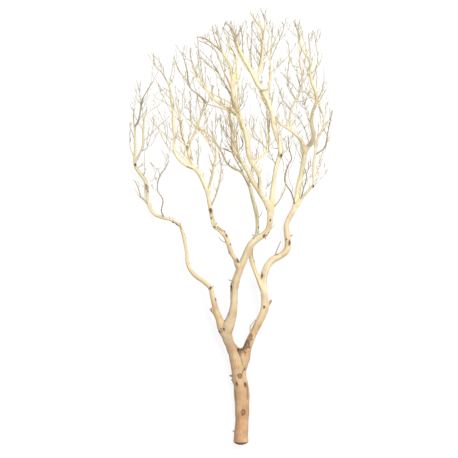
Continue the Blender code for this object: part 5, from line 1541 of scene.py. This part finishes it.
# A scale of bark is the wood's own skin, lifted a little and given an underside
def buildBark(wood, material):
    mesh = wood.data
    points = toMm(verticesOf(mesh))
    normals = normalsOf(mesh)
    corners = np.array([tuple(face.vertices) for face in mesh.polygons if len(face.vertices) == 4])
    centres = points[corners].mean(axis=1)
    facing = normals[corners].mean(axis=1)[:, 2]
    heap = newHeap()
    for x, y, wide, long, turn, darkness in barkWork["scales"]:
        c, s = math.cos(math.radians(turn)), math.sin(math.radians(turn))
        across = (centres[:, 0] - x) * c + (centres[:, 1] - y) * s
        along = (centres[:, 1] - y) * c - (centres[:, 0] - x) * s
        far = np.sqrt((across / wide) ** 2 + (along / long) ** 2)
        near = np.nonzero((far < 1.6) & (facing > 0.05))[0]
        rough = noiseAt(centres[near], 4.5)
        chosen = near[far[near] + barkWork["raggedness"] * rough < 1]
        if len(chosen) < 6:
            continue
        top = centres[chosen][:, 2].max()
        chosen = chosen[centres[chosen][:, 2] > top - 34]
        faces = corners[chosen]
        used, local = np.unique(faces.ravel(), return_inverse=True)
        local = local.reshape(-1, 4)
        sides = np.concatenate([local[:, [k, (k + 1) % 4]] for k in range(4)])
        twin = {(b, a) for a, b in sides.tolist()}
        rim = np.array([(a, b) for a, b in sides.tolist() if (a, b) not in twin])
        edge = np.zeros(len(used), dtype=bool)
        edge[rim.ravel()] = True
        skin = points[used]
        for _ in range(barkWork["rimRounds"]):
            skin = np.where(edge[:, None], 0.4 * skin + 0.6 * meanBeside(rim, skin), skin)
        lift = noiseAt(points[used], 3.0) * 0.5 + 1
        lift = np.where(edge, 0.35, lift) * barkWork["thickness"]
        outer = skin + normals[used] * lift[:, None]
        inner = skin - normals[used] * 0.8
        count = len(used)
        walls = np.stack((rim[:, 1], rim[:, 0], rim[:, 0] + count, rim[:, 1] + count), axis=1)
        quads = np.concatenate((local, local[:, ::-1] + count, walls))
        tone = np.zeros((2 * count, 4))
        tone[:, 0] = 0.7
        patch = noiseAt(points[used], (3.0, 9.0, 3.0)) * 0.8 + 0.5
        shade = darkness * (0.6 + 0.8 * np.clip(patch, 0, 1))
        tone[:, 1] = np.tile(np.where(edge, barkWork["rimDarkness"], shade), 2)
        both = np.concatenate((outer, inner))
        both[:, 2] = np.maximum(both[:, 2], 0.0)
        grain = np.stack((both[:, 1], both[:, 0], both[:, 2]), axis=1)
        addToHeap(heap, both, quads, np.zeros((0, 3)), grain, tone)
    return heapToPiece("barkScales", heap, material)


# The crown: thin limbs, first twigs, and the finer side twigs that the solid leaves out

crownWork = {
    "flare": 0.55,
    "flareReach": 0.7,        # thicknesses
    "nodeEvery": 15.0,        # mm between the small swellings on a twig
    "nodeSwell": 0.10,
    "sides": ((6.0, 9), (3.6, 7), (2.0, 5), (0.0, 4)),    # by thickness, mm
}

# The fine twigs grow from buds on the limbs and first twigs
fineTwigs = {
    "spacing": 8.5,           # mm between the free places
    "density": 0.8,           # share of the free places that count, where crownPlaces says nothing
    "depth": 38.0,            # mm, how far above and below their limbs they lie
    "from": 860.0,            # mm along
    "to": 1500.0,
    "budsFrom": 840.0,
    "budEvery": 3,            # samples along a limb
    "reach": 95.0,            # mm
    "enough": 7.0,            # mm from a twig, a free place is filled
    "asked": 20,              # the nearest spots that a free place asks for a twig
    "narrow": 0.72,           # cosine of the widest angle off straight outwards
    "step": 6.0,              # mm that a twig grows in a round
    "rounds": 70,
    "forward": 1.0,           # how strongly it keeps its heading
    "budForward": 0.6,        # and its limb's, at the start
    "pull": 0.30,
    "wander": 0.28,
    "forking": 2.3,
    "swell": 0.03,
    "tip": 1.3,               # mm across
    "root": 3.6,
    "shareOfLimb": 0.5,
    "fewest": 3,              # spots in a twig
    "most": 2,                # ways on from a spot
    "facet": 4.0,             # mm
    "seed": 8,
}

# How thickly the fine twigs stand: x, y, half width, half length, share of the free places
crownPlaces = (
    (-225, 880, 62, 80, 0.0),
    (-305, 1000, 34, 50, 0.1),
    (-35, 855, 28, 95, 0.0),
    (48, 1170, 26, 46, 0.3),
    (172, 935, 26, 105, 0.0),
    (222, 1075, 16, 60, 0.2),
    (130, 1050, 30, 60, 1.0),
    (-360, 1035, 30, 110, 0.05),
    (-250, 1200, 34, 120, 0.1),
    (-195, 1345, 60, 45, 0.2),
    (-310, 1250, 40, 60, 0.1),
    (-140, 1100, 40, 50, 0.5),
    (78, 1172, 30, 30, 0.3),
    (-168, 980, 60, 55, 1.0),
    (-30, 1035, 32, 60, 1.0),
    (25, 1400, 40, 90, 0.9),
    (-60, 1290, 60, 75, 0.9),
    (78, 1400, 30, 90, 1.0),
    (133, 1250, 30, 60, 1.0),
    (80, 1005, 30, 35, 1.0),
    (133, 885, 28, 95, 0.85),
    (25, 1145, 28, 60, 0.8),
)

# Spurs on the fine twigs
tipTwigs = {
    "share": 0.4,             # of what is left of its carrier
    "least": 5.0,             # mm
    "most": 22.0,
    "root": 1.6,
    "tip": 1.1,
    "lean": (25.0, 55.0),
    "bends": 3,
    "wander": 0.26,
    "pull": 0.20,
    "first": 0.2,
    "bareRoot": 5.0,          # mm without spurs at a carrier's root
    "bareTip": 2.0,           # mm without spurs at its tip
    "starts": 8,              # places in the spiral where a carrier may begin
    "jitter": 0.7,            # radians off the spiral
    "variety": (0.55, 1.15),  # times the length
    "shareOfCarrier": 0.62,   # of its carrier's thickness, at most
    "sameTone": 0.6,          # share of the spurs that have their carrier's tone
    "spacing": (14.0, 34.0),  # mm
    "from": 880.0,            # mm along, bare below
    "step": 5.0,
    "seed": 41,
}


def sidesFor(width):
    return next(sides for least, sides in crownWork["sides"] if width >= least)


# A tone is how tan, dark, grey and straw the wood is
def limbTone(draw, name):
    plain = (draw.uniform(*toneWork["plainTan"]), 0.0, draw.uniform(*toneWork["plainGrey"]))
    return (*toneWork["thinLimbs"].get(name, plain), toneWork["limbStraw"] * draw.random())


def twigTone(draw, kind):
    return (*(draw.uniform(*limits) for limits in toneWork[kind]), draw.random())


def tonesAlong(twig):
    tones = np.tile(twig["tone"], (len(twig["spots"]), 1))
    left = np.interp(twig["spots"][:, 0], *zip(*crownOutline)) - twig["spots"][:, 1]
    share = np.clip(1 - left / crownEdge["darkFrom"], 0, 1)
    tones[:, 1] += crownEdge["dark"] * share
    tones[:, 2] += crownEdge["grey"] * share
    return np.minimum(tones, 1)


def buildTwigs(name, twigs, lines, material):
    draw = random.Random(len(twigs))
    heap = newHeap()
    for n, twig in enumerate(twigs):
        widths = flaredWidths(twig, lines, crownWork)
        along = np.arange(len(widths)) * sampleStep
        phase = draw.uniform(0, 6)
        swell = np.sin(along / crownWork["nodeEvery"] * oneTurn + phase)
        widths = widths * (1 + crownWork["nodeSwell"] * swell)
        sides = sidesFor(widths[len(widths) // 3])
        addTube(heap, twig["spots"], widths, sides, tonesAlong(twig), blunt=twig["blunt"], shift=37.0 * n)
    return heapToPiece(name, heap, material)


# Colours along the branch: tan at the butt, honey on the limbs, cream in the crown

toneWork = {
    # how tan the wood is at these distances along
    "along": (0.0, 250.0, 400.0, 520.0, 720.0, 900.0, 1500.0),
    "tan": (0.86, 0.82, 0.62, 0.36, 0.20, -0.02, -0.2),
    "limbTan": {"rightLimb": -0.05, "lowerMiddleLimb": -0.08, "brownCrownLimb": 0.1, "farLeftLimb": 0.05,
                "forkStub": 0.35, "leftStub": 0.6, "rightStub": 0.4},
    "mottled": {"brownCrownLimb": 0.5, "upperLeftLimb": 0.25, "lowerMiddleLimb": 0.25,
                "tallCrownLimb": 0.25},
    "specks": 4.5,            # mm
    "blending": 16,           # rounds, between the tans of limbs that meet
    "palest": -0.25,          # tan
    "plainMottle": 0.14,
    "mottleContrast": 2.4,
    "mottleFrom": 0.3,
    "plainTan": (-0.2, 0.15),     # of the thin limbs that aren't named below
    "plainGrey": (0.0, 0.1),
    "limbStraw": 0.4,             # at most
    # lowest and highest tan, dark and grey of the first and of the fine twigs
    "firstTwigs": ((0.0, 0.5), (0.0, 0.2), (0.0, 0.35)),
    "fineTwigs": ((-0.1, 0.5), (0.0, 0.25), (0.0, 0.6)),
    "seed": 3,
    "limbDark": {"forkStub": 0.15, "leftStub": 0.5, "rightStub": 0.3},
    # tan, dark and grey of the thin limbs that differ from the rest
    "thinLimbs": {
        "greyTwig": (0.3, 0.4, 0.7), "darkTwig": (0.3, 0.6, 0.6), "crossingTwig": (0.3, 0.35, 0.5),
        "rightInnerTwig": (0.3, 0.3, 0.6), "upperLeftSprig": (0.3, 0.3, 0.3), "rightSprig": (0.3, 0.4, 0.4),
        "lowRightSprig": (0.3, 0.2, 0.2), "outerRightTwig": (0.3, 0.3, 0.6), "leftTip": (0.3, 0.35, 0.6),
        "leftOuterTip": (0.2, 0.2, 0.6), "leftSprig": (0.2, 0.25, 0.4), "leftCrownSpur": (0.0, 0.0, 0.0),
        "highLeftTwig": (0.3, 0.25, 0.4), "highLeftProng": (0.3, 0.2, 0.4), "rustTwig": (0.6, 0.0, 0.0),
        "tallTwig": (0.4, 0.2, 0.1), "leftSpray": (0.2, 0.05, 0.5), "highCrownTwig": (0.4, 0.25, 0.4),
        "innerCrownTwig": (0.4, 0.2, 0.3), "topRightTwig": (0.1, 0.1, 0.6),
        "rightTopProng": (0.1, 0.05, 0.3),
        "paleCrownLimb": (-0.2, 0.0, 0.0), "highRightLimb": (-0.1, 0.0, 0.0), "rightLimb": (-0.1, 0.0, 0.0),
        "sideCrownLimb": (-0.1, 0.0, 0.0), "rightOuterProng": (0.2, 0.15, 0.5),
        "forkedTwig": (0.3, 0.2, 0.4), "topForkTwig": (0.3, 0.2, 0.5),
    },
}


def toneOfWood(mesh, points, trace, dark, shade, names):
    tan = np.interp(points[:, 1], toneWork["along"], toneWork["tan"])
    more = np.array([toneWork["limbTan"].get(name, 0.0) for name in names])
    blots = np.array([toneWork["limbDark"].get(name, 0.0) for name in names])
    tan = (tan + more[trace["owner"]])[:, None]
    edges = edgesOf(mesh)
    for _ in range(toneWork["blending"]):
        tan = meanBeside(edges, tan)
    tone = np.zeros((len(points), 4))
    tone[:, 0] = np.clip(tan[:, 0], toneWork["palest"], 1)
    spots = noiseAt(points, toneWork["specks"])
    mottle = np.array([toneWork["mottled"].get(name, toneWork["plainMottle"]) for name in names])
    spots = np.clip(toneWork["mottleContrast"] * spots - toneWork["mottleFrom"], 0, 1)
    blots = blots[trace["owner"]] + mottle[trace["owner"]] * spots
    # dark: knots, stains, and painted shade along the trunk's right edge and the saw cut's rim
    tone[:, 1] = np.clip(np.maximum(dark, blots), 0, 1)
    # grey: greyer wood, and painted shade along the left sides
    tone[:, 2] = shade
    return tone


# Materials

woodLook = {
    "cream": (0.67, 0.61, 0.41),
    "honey": (0.59, 0.475, 0.29),
    "tan": (0.385, 0.21, 0.10),
    "grey": (0.30, 0.265, 0.19),
    "straw": (0.63, 0.51, 0.19),
    "dark": (0.10, 0.052, 0.026),
    "fibres": (18.0, 330.0, 330.0),    # how fine the grain is along and across, per metre
    "streaks": (5.0, 75.0, 75.0),
    "fissures": (14.0, 260.0, 260.0),
    "blotches": 16.0,                  # per metre
    "bump": 0.5,
    "relief": 0.0008,                  # m
    "specular": 0.28,
    # where the noise begins and ends to count, and then what it counts there
    "honeyStreaks": (0.35, 0.68),
    "tanBlotches": (0.42, 0.75, -0.12, 0.4),
    "tanFibres": (0.3, 0.7, -0.12, 0.12),
    "strawStreaks": (0.3, 0.7, 0.9, 0.6),
    "greyStreaks": (0.3, 0.7, 0.6, 1.0),
    "darkFibres": (0.25, 0.6, 0.75, 1.1),
    "darkEnough": (0.08, 0.95),
    "fibreLines": (0.30, 0.52, 0.78, 1.0),
    "fissureLines": (0.31, 0.38, 0.55, 1.0),
    "roughness": (0.3, 0.7, 0.85, 0.55),
}


# A socket takes a number or a colour, or another node's output
def plug(tree, socket, value):
    if isinstance(value, bpy.types.NodeSocket):
        tree.links.new(value, socket)
    else:
        socket.default_value = (*value, 1.0) if socket.type == "RGBA" else value


def newMaterial(name):
    material = bpy.data.materials.new(name)
    material.use_nodes = True
    tree = material.node_tree
    return material, tree, tree.nodes["Principled BSDF"]


def addNode(tree, kind, settings=None, **inputs):
    node = tree.nodes.new(kind)
    for name, value in (settings or {}).items():
        setattr(node, name, value)
    for name, value in inputs.items():
        plug(tree, node.inputs[name], value)
    return node


def mixColours(tree, factor, first, second, blend="MIX"):
    node = tree.nodes.new("ShaderNodeMix")
    node.data_type = "RGBA"
    node.blend_type = blend
    for socket, value in ((0, factor), (6, first), (7, second)):     # the colour sockets of this node
        plug(tree, node.inputs[socket], value)
    return node.outputs[2]


def stretchedNoise(tree, vector, stretch, detail=4.0):
    scaled = mathNode(tree, "MULTIPLY", vector, stretch, "ShaderNodeVectorMath")
    return addNode(tree, "ShaderNodeTexNoise", Vector=scaled, Scale=1.0, Detail=detail).outputs[0]


# The grain fades out where two limbs meet
def grainNoise(tree, grain, seam, stretch, detail):
    rough = stretchedNoise(tree, grain, stretch, detail)
    return addNode(tree, "ShaderNodeMix", Factor=seam, A=rough, B=0.5).outputs[0]


def remap(tree, value, low, high, newLow=0.0, newHigh=1.0):
    node = addNode(tree, "ShaderNodeMapRange", {"clamp": True}, Value=value)
    for name, number in (("From Min", low), ("From Max", high), ("To Min", newLow), ("To Max", newHigh)):
        node.inputs[name].default_value = number
    return node.outputs[0]


def mathNode(tree, operation, first, second, kind="ShaderNodeMath"):
    node = addNode(tree, kind, {"operation": operation})
    for socket, value in zip(node.inputs, (first, second)):
        plug(tree, socket, value)
    return node.outputs[0]


def woodMaterial(name, look):
    material, tree, shader = newMaterial(name)
    grain = addNode(tree, "ShaderNodeAttribute", {"attribute_name": "grain"}).outputs["Vector"]
    tone = addNode(tree, "ShaderNodeAttribute", {"attribute_name": "tone"})
    parts = addNode(tree, "ShaderNodeSeparateColor", Color=tone.outputs["Color"])
    place = addNode(tree, "ShaderNodeTexCoord").outputs["Object"]
    seam = addNode(tree, "ShaderNodeAttribute", {"attribute_name": "seam"}).outputs["Fac"]
    fibres = grainNoise(tree, grain, seam, look["fibres"], 5.0)
    streaks = grainNoise(tree, grain, seam, look["streaks"], 3.0)
    blotches = stretchedNoise(tree, place, (look["blotches"],) * 3, 4.0)
    colour = mixColours(tree, remap(tree, streaks, *look["honeyStreaks"]), look["cream"], look["honey"])
    tanness = mathNode(tree, "ADD", parts.outputs["Red"], remap(tree, blotches, *look["tanBlotches"]))
    tanness = mathNode(tree, "ADD", tanness, remap(tree, fibres, *look["tanFibres"]))
    colour = mixColours(tree, remap(tree, tanness, 0.0, 1.0), colour, look["tan"])
    paler = remap(tree, streaks, *look["strawStreaks"])
    strawness = mathNode(tree, "MULTIPLY", tone.outputs["Alpha"], paler)
    colour = mixColours(tree, strawness, colour, look["straw"])
    greyer = remap(tree, streaks, *look["greyStreaks"])
    greyness = mathNode(tree, "MULTIPLY", parts.outputs["Blue"], greyer)
    colour = mixColours(tree, greyness, colour, look["grey"])
    darker = remap(tree, fibres, *look["darkFibres"])
    darkness = mathNode(tree, "MULTIPLY", parts.outputs["Green"], darker)
    colour = mixColours(tree, remap(tree, darkness, *look["darkEnough"]), colour, look["dark"])
    lines = remap(tree, fibres, *look["fibreLines"])
    fissures = grainNoise(tree, grain, seam, look["fissures"], 2.0)
    lines = mathNode(tree, "MULTIPLY", lines, remap(tree, fissures, *look["fissureLines"]))
    colour = mixColours(tree, 1.0, colour, lines, "MULTIPLY")
    tree.links.new(colour, shader.inputs["Base Color"])
    tree.links.new(remap(tree, streaks, *look["roughness"]), shader.inputs["Roughness"])
    bump = addNode(tree, "ShaderNodeBump", Strength=look["bump"], Distance=look["relief"],
                   Height=mathNode(tree, "MULTIPLY", fibres, lines))
    tree.links.new(bump.outputs[0], shader.inputs["Normal"])
    shader.inputs["Specular IOR Level"].default_value = look["specular"]
    return material


sawnEndAndShadeLook = {
    "pith": (0.035, -0.75, 0.022),     # m
    # end-grain colours, darker than the wood's own: dark end grain and painted shade on the cut
    "pale": (0.075, 0.045, 0.033),
    "ring": (0.035, 0.022, 0.017),
    "ringsPerMetre": 330.0,
    "unevenness": 2.4,
    "grit": 160.0,                     # per metre
    "gritLight": (0.3, 0.7, 0.4, 1.0),
    "roughness": 0.9,
    "bump": 0.5,
    "relief": 0.0005,                  # m
    "buttAt": -0.75,                   # m along
    "endsAt": -0.72,
    "facing": -0.75,                   # how squarely a face has to look at the butt
}


def sawMaterial():
    material, tree, shader = newMaterial("sawnEnd")
    place = addNode(tree, "ShaderNodeTexCoord").outputs["Object"]
    offset = mathNode(tree, "SUBTRACT", place, sawnEndAndShadeLook["pith"], "ShaderNodeVectorMath")
    flat = mathNode(tree, "MULTIPLY", offset, (1.0, 0.0, 1.0), "ShaderNodeVectorMath")
    rings = addNode(tree, "ShaderNodeTexWave", {"wave_type": "RINGS", "rings_direction": "SPHERICAL"},
                    Vector=flat, Scale=sawnEndAndShadeLook["ringsPerMetre"] / oneTurn,
                    Distortion=sawnEndAndShadeLook["unevenness"], Detail=3.0)
    rough = stretchedNoise(tree, place, (sawnEndAndShadeLook["grit"],) * 3, 4.0)
    factor = mathNode(tree, "MULTIPLY", rings.outputs[1], remap(tree, rough, *sawnEndAndShadeLook["gritLight"]))
    colour = mixColours(tree, factor, sawnEndAndShadeLook["pale"], sawnEndAndShadeLook["ring"])
    tree.links.new(colour, shader.inputs["Base Color"])
    shader.inputs["Roughness"].default_value = sawnEndAndShadeLook["roughness"]
    bump = addNode(tree, "ShaderNodeBump", Strength=sawnEndAndShadeLook["bump"], Distance=sawnEndAndShadeLook["relief"],
                   Height=rings.outputs[1])
    tree.links.new(bump.outputs[0], shader.inputs["Normal"])
    return material


# The picture: floor, light and camera

pictureWork = {
    "floorSize": 60.0,
    "floorColour": (0.10, 0.10, 0.10),
    "floorGlow": 0.88,                 # the floor is a lit sheet, as for a catalogue picture
    "skyStrength": 0.75,
    "sunStrength": 3.9,
    "sunAngle": 28.0,                  # degrees across, for soft shadows
    "sunLean": (22.0, 24.0),           # degrees off straight down, towards the left and towards the butt
    "spans": 1.5687,                   # metres across the picture
    "aim": (-0.0061, -0.0068, 0.15),
    "lens": 1000.0,
}


def buildPicture():
    bpy.ops.mesh.primitive_plane_add(size=pictureWork["floorSize"])
    floor = bpy.context.object
    floor.name = "paleFloor"
    material, _, shader = newMaterial("paleFloor")
    shader.inputs["Base Color"].default_value = (*pictureWork["floorColour"], 1.0)
    shader.inputs["Roughness"].default_value = 0.9
    shader.inputs["Specular IOR Level"].default_value = 0.1
    shader.inputs["Emission Color"].default_value = (1.0, 1.0, 1.0, 1.0)
    shader.inputs["Emission Strength"].default_value = pictureWork["floorGlow"]
    floor.data.materials.append(material)
    world = bpy.data.worlds.new("softSky")
    bpy.context.scene.world = world
    world.use_nodes = True
    background = world.node_tree.nodes["Background"]
    background.inputs["Color"].default_value = (1.0, 1.0, 1.0, 1.0)
    background.inputs["Strength"].default_value = pictureWork["skyStrength"]
    sun = putInScene("softSun", bpy.data.lights.new("softSun", "SUN"))
    sun.data.energy = pictureWork["sunStrength"]
    sun.data.angle = math.radians(pictureWork["sunAngle"])
    left, down = (math.radians(v) for v in pictureWork["sunLean"])
    sun.rotation_euler = (-down, left, 0.0)
    camera = putInScene("lookingDown", bpy.data.cameras.new("lookingDown"))
    camera.data.lens = pictureWork["lens"]
    x, y, z = pictureWork["aim"]
    away = pictureWork["spans"] * camera.data.lens / camera.data.sensor_width
    camera.location = (x, y, z + away)
    camera.data.clip_end = away * 2
    bpy.context.scene.camera = camera
    bpy.context.scene.view_settings.view_transform = "Standard"


# The whole branch

boxMargin = 1e-5         # m


# What reaches out of the solid's box is pressed into the box's side
def keepInside(piece):
    low, high = np.array(cadBox[0]), np.array(cadBox[1])
    points = verticesOf(piece.data)
    setVertices(piece.data, np.clip(points, low + boxMargin, high - boxMargin))


def hold(piece):
    keepInside(piece)
    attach(piece, "root")
    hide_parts("branch")


# The sawn end, and the band along its edge, dark as darker wood and painted shade
def cutFaces(wood, sawn):
    mesh = wood.data
    mesh.materials.append(sawn)
    high = 2 * woodShape["butt"] * mm
    for face in mesh.polygons:
        x, y, z = face.center
        edge = sawnEndAndShadeLook["buttAt"] + woodShape["sawSlant"] * (high - z)
        edge += woodShape["sawRim"] * mm * held(2 * z / high - 1, 0.0, 1.0)
        square = face.normal.y < sawnEndAndShadeLook["facing"] and y < sawnEndAndShadeLook["endsAt"]
        if square or y < edge:
            face.material_index = 1


buildPicture()
print("floor, light and camera are in place")

lines, lineOf = limbLines()
colours = random.Random(toneWork["seed"])
bleached = woodMaterial("bleachedWood", woodLook)

wood = buildWood(lines, bleached)
print("wood fused:", len(wood.data.polygons), "faces")
knots, stubs = placeKnots(wood, lines.values())
ordered = list(lines.values())
traced = [line for line in ordered if line["name"] != "crotchStub"]
places, trace, dark, shade = carveWood(wood, traced, knots)
grain = np.stack((trace["along"], trace["a"], trace["b"]), axis=1) * mm
tones = toneOfWood(wood.data, places, trace, dark, shade, [line["name"] for line in traced])
paintPiece(wood.data, grain, tones)
wood.data.attributes.new("seam", "FLOAT", "POINT").data.foreach_set("value", 1 - trace["alone"])
cutFaces(wood, sawMaterial())
print("wood carved and painted")

knotPiece = buildKnots(knots, stubs, wood, bleached)
barkPiece = buildBark(wood, bleached)
print("knots:", len(knots), "stubs:", len(stubs))

thinLimbs = []
for line in ordered:
    end = thickEnd(line)
    if line["blunt"] or end >= len(line["spots"]) - 3:
        continue
    start = max(end - 5, 0)     # they reach a little way into the fused wood
    root = None if start else line["root"]
    tone = limbTone(colours, line["name"])
    spots, thick = line["spots"][start:], line["thick"][start:]
    thinLimbs.append(makeLine(line["name"], spots, thick, root, tone=tone))
first = growFirstTwigs(lineOf)
for twig in first:
    twig["tone"] = twigTone(colours, "firstTwigs")
upper = [line for line in ordered
         if line["spots"][:, 1].max() > fineTwigs["budsFrom"] and not line["blunt"]]
hugging = growStrands(ordered)
shown = growShownTwigs(upper + first + hugging)
side = growFineTwigs(upper + first + hugging + shown)
tips = growSpurs(first + side + shown)
for twig in side + tips:
    twig["tone"] = twig["tone"] or twigTone(colours, "fineTwigs")
print("twigs:", len(first), "first,", len(shown), "shown,", len(side), "side,", len(tips), "tips")

carriers = dict(lines)
carriers.update({twig["name"]: twig for twig in first + hugging + shown})
pieces = [wood, knotPiece, barkPiece]
pieces.append(buildTwigs("thinLimbs", thinLimbs + hugging + first, carriers, bleached))
pieces.append(buildTwigs("sideTwigs", shown + side, carriers, bleached))
pieces.append(buildTwigs("twigTips", tips, {}, bleached))
for piece in pieces:
    hold(piece)
    faces = sum(len(face.vertices) - 2 for face in piece.data.polygons)
    print("  ", piece.name, faces, "triangles")
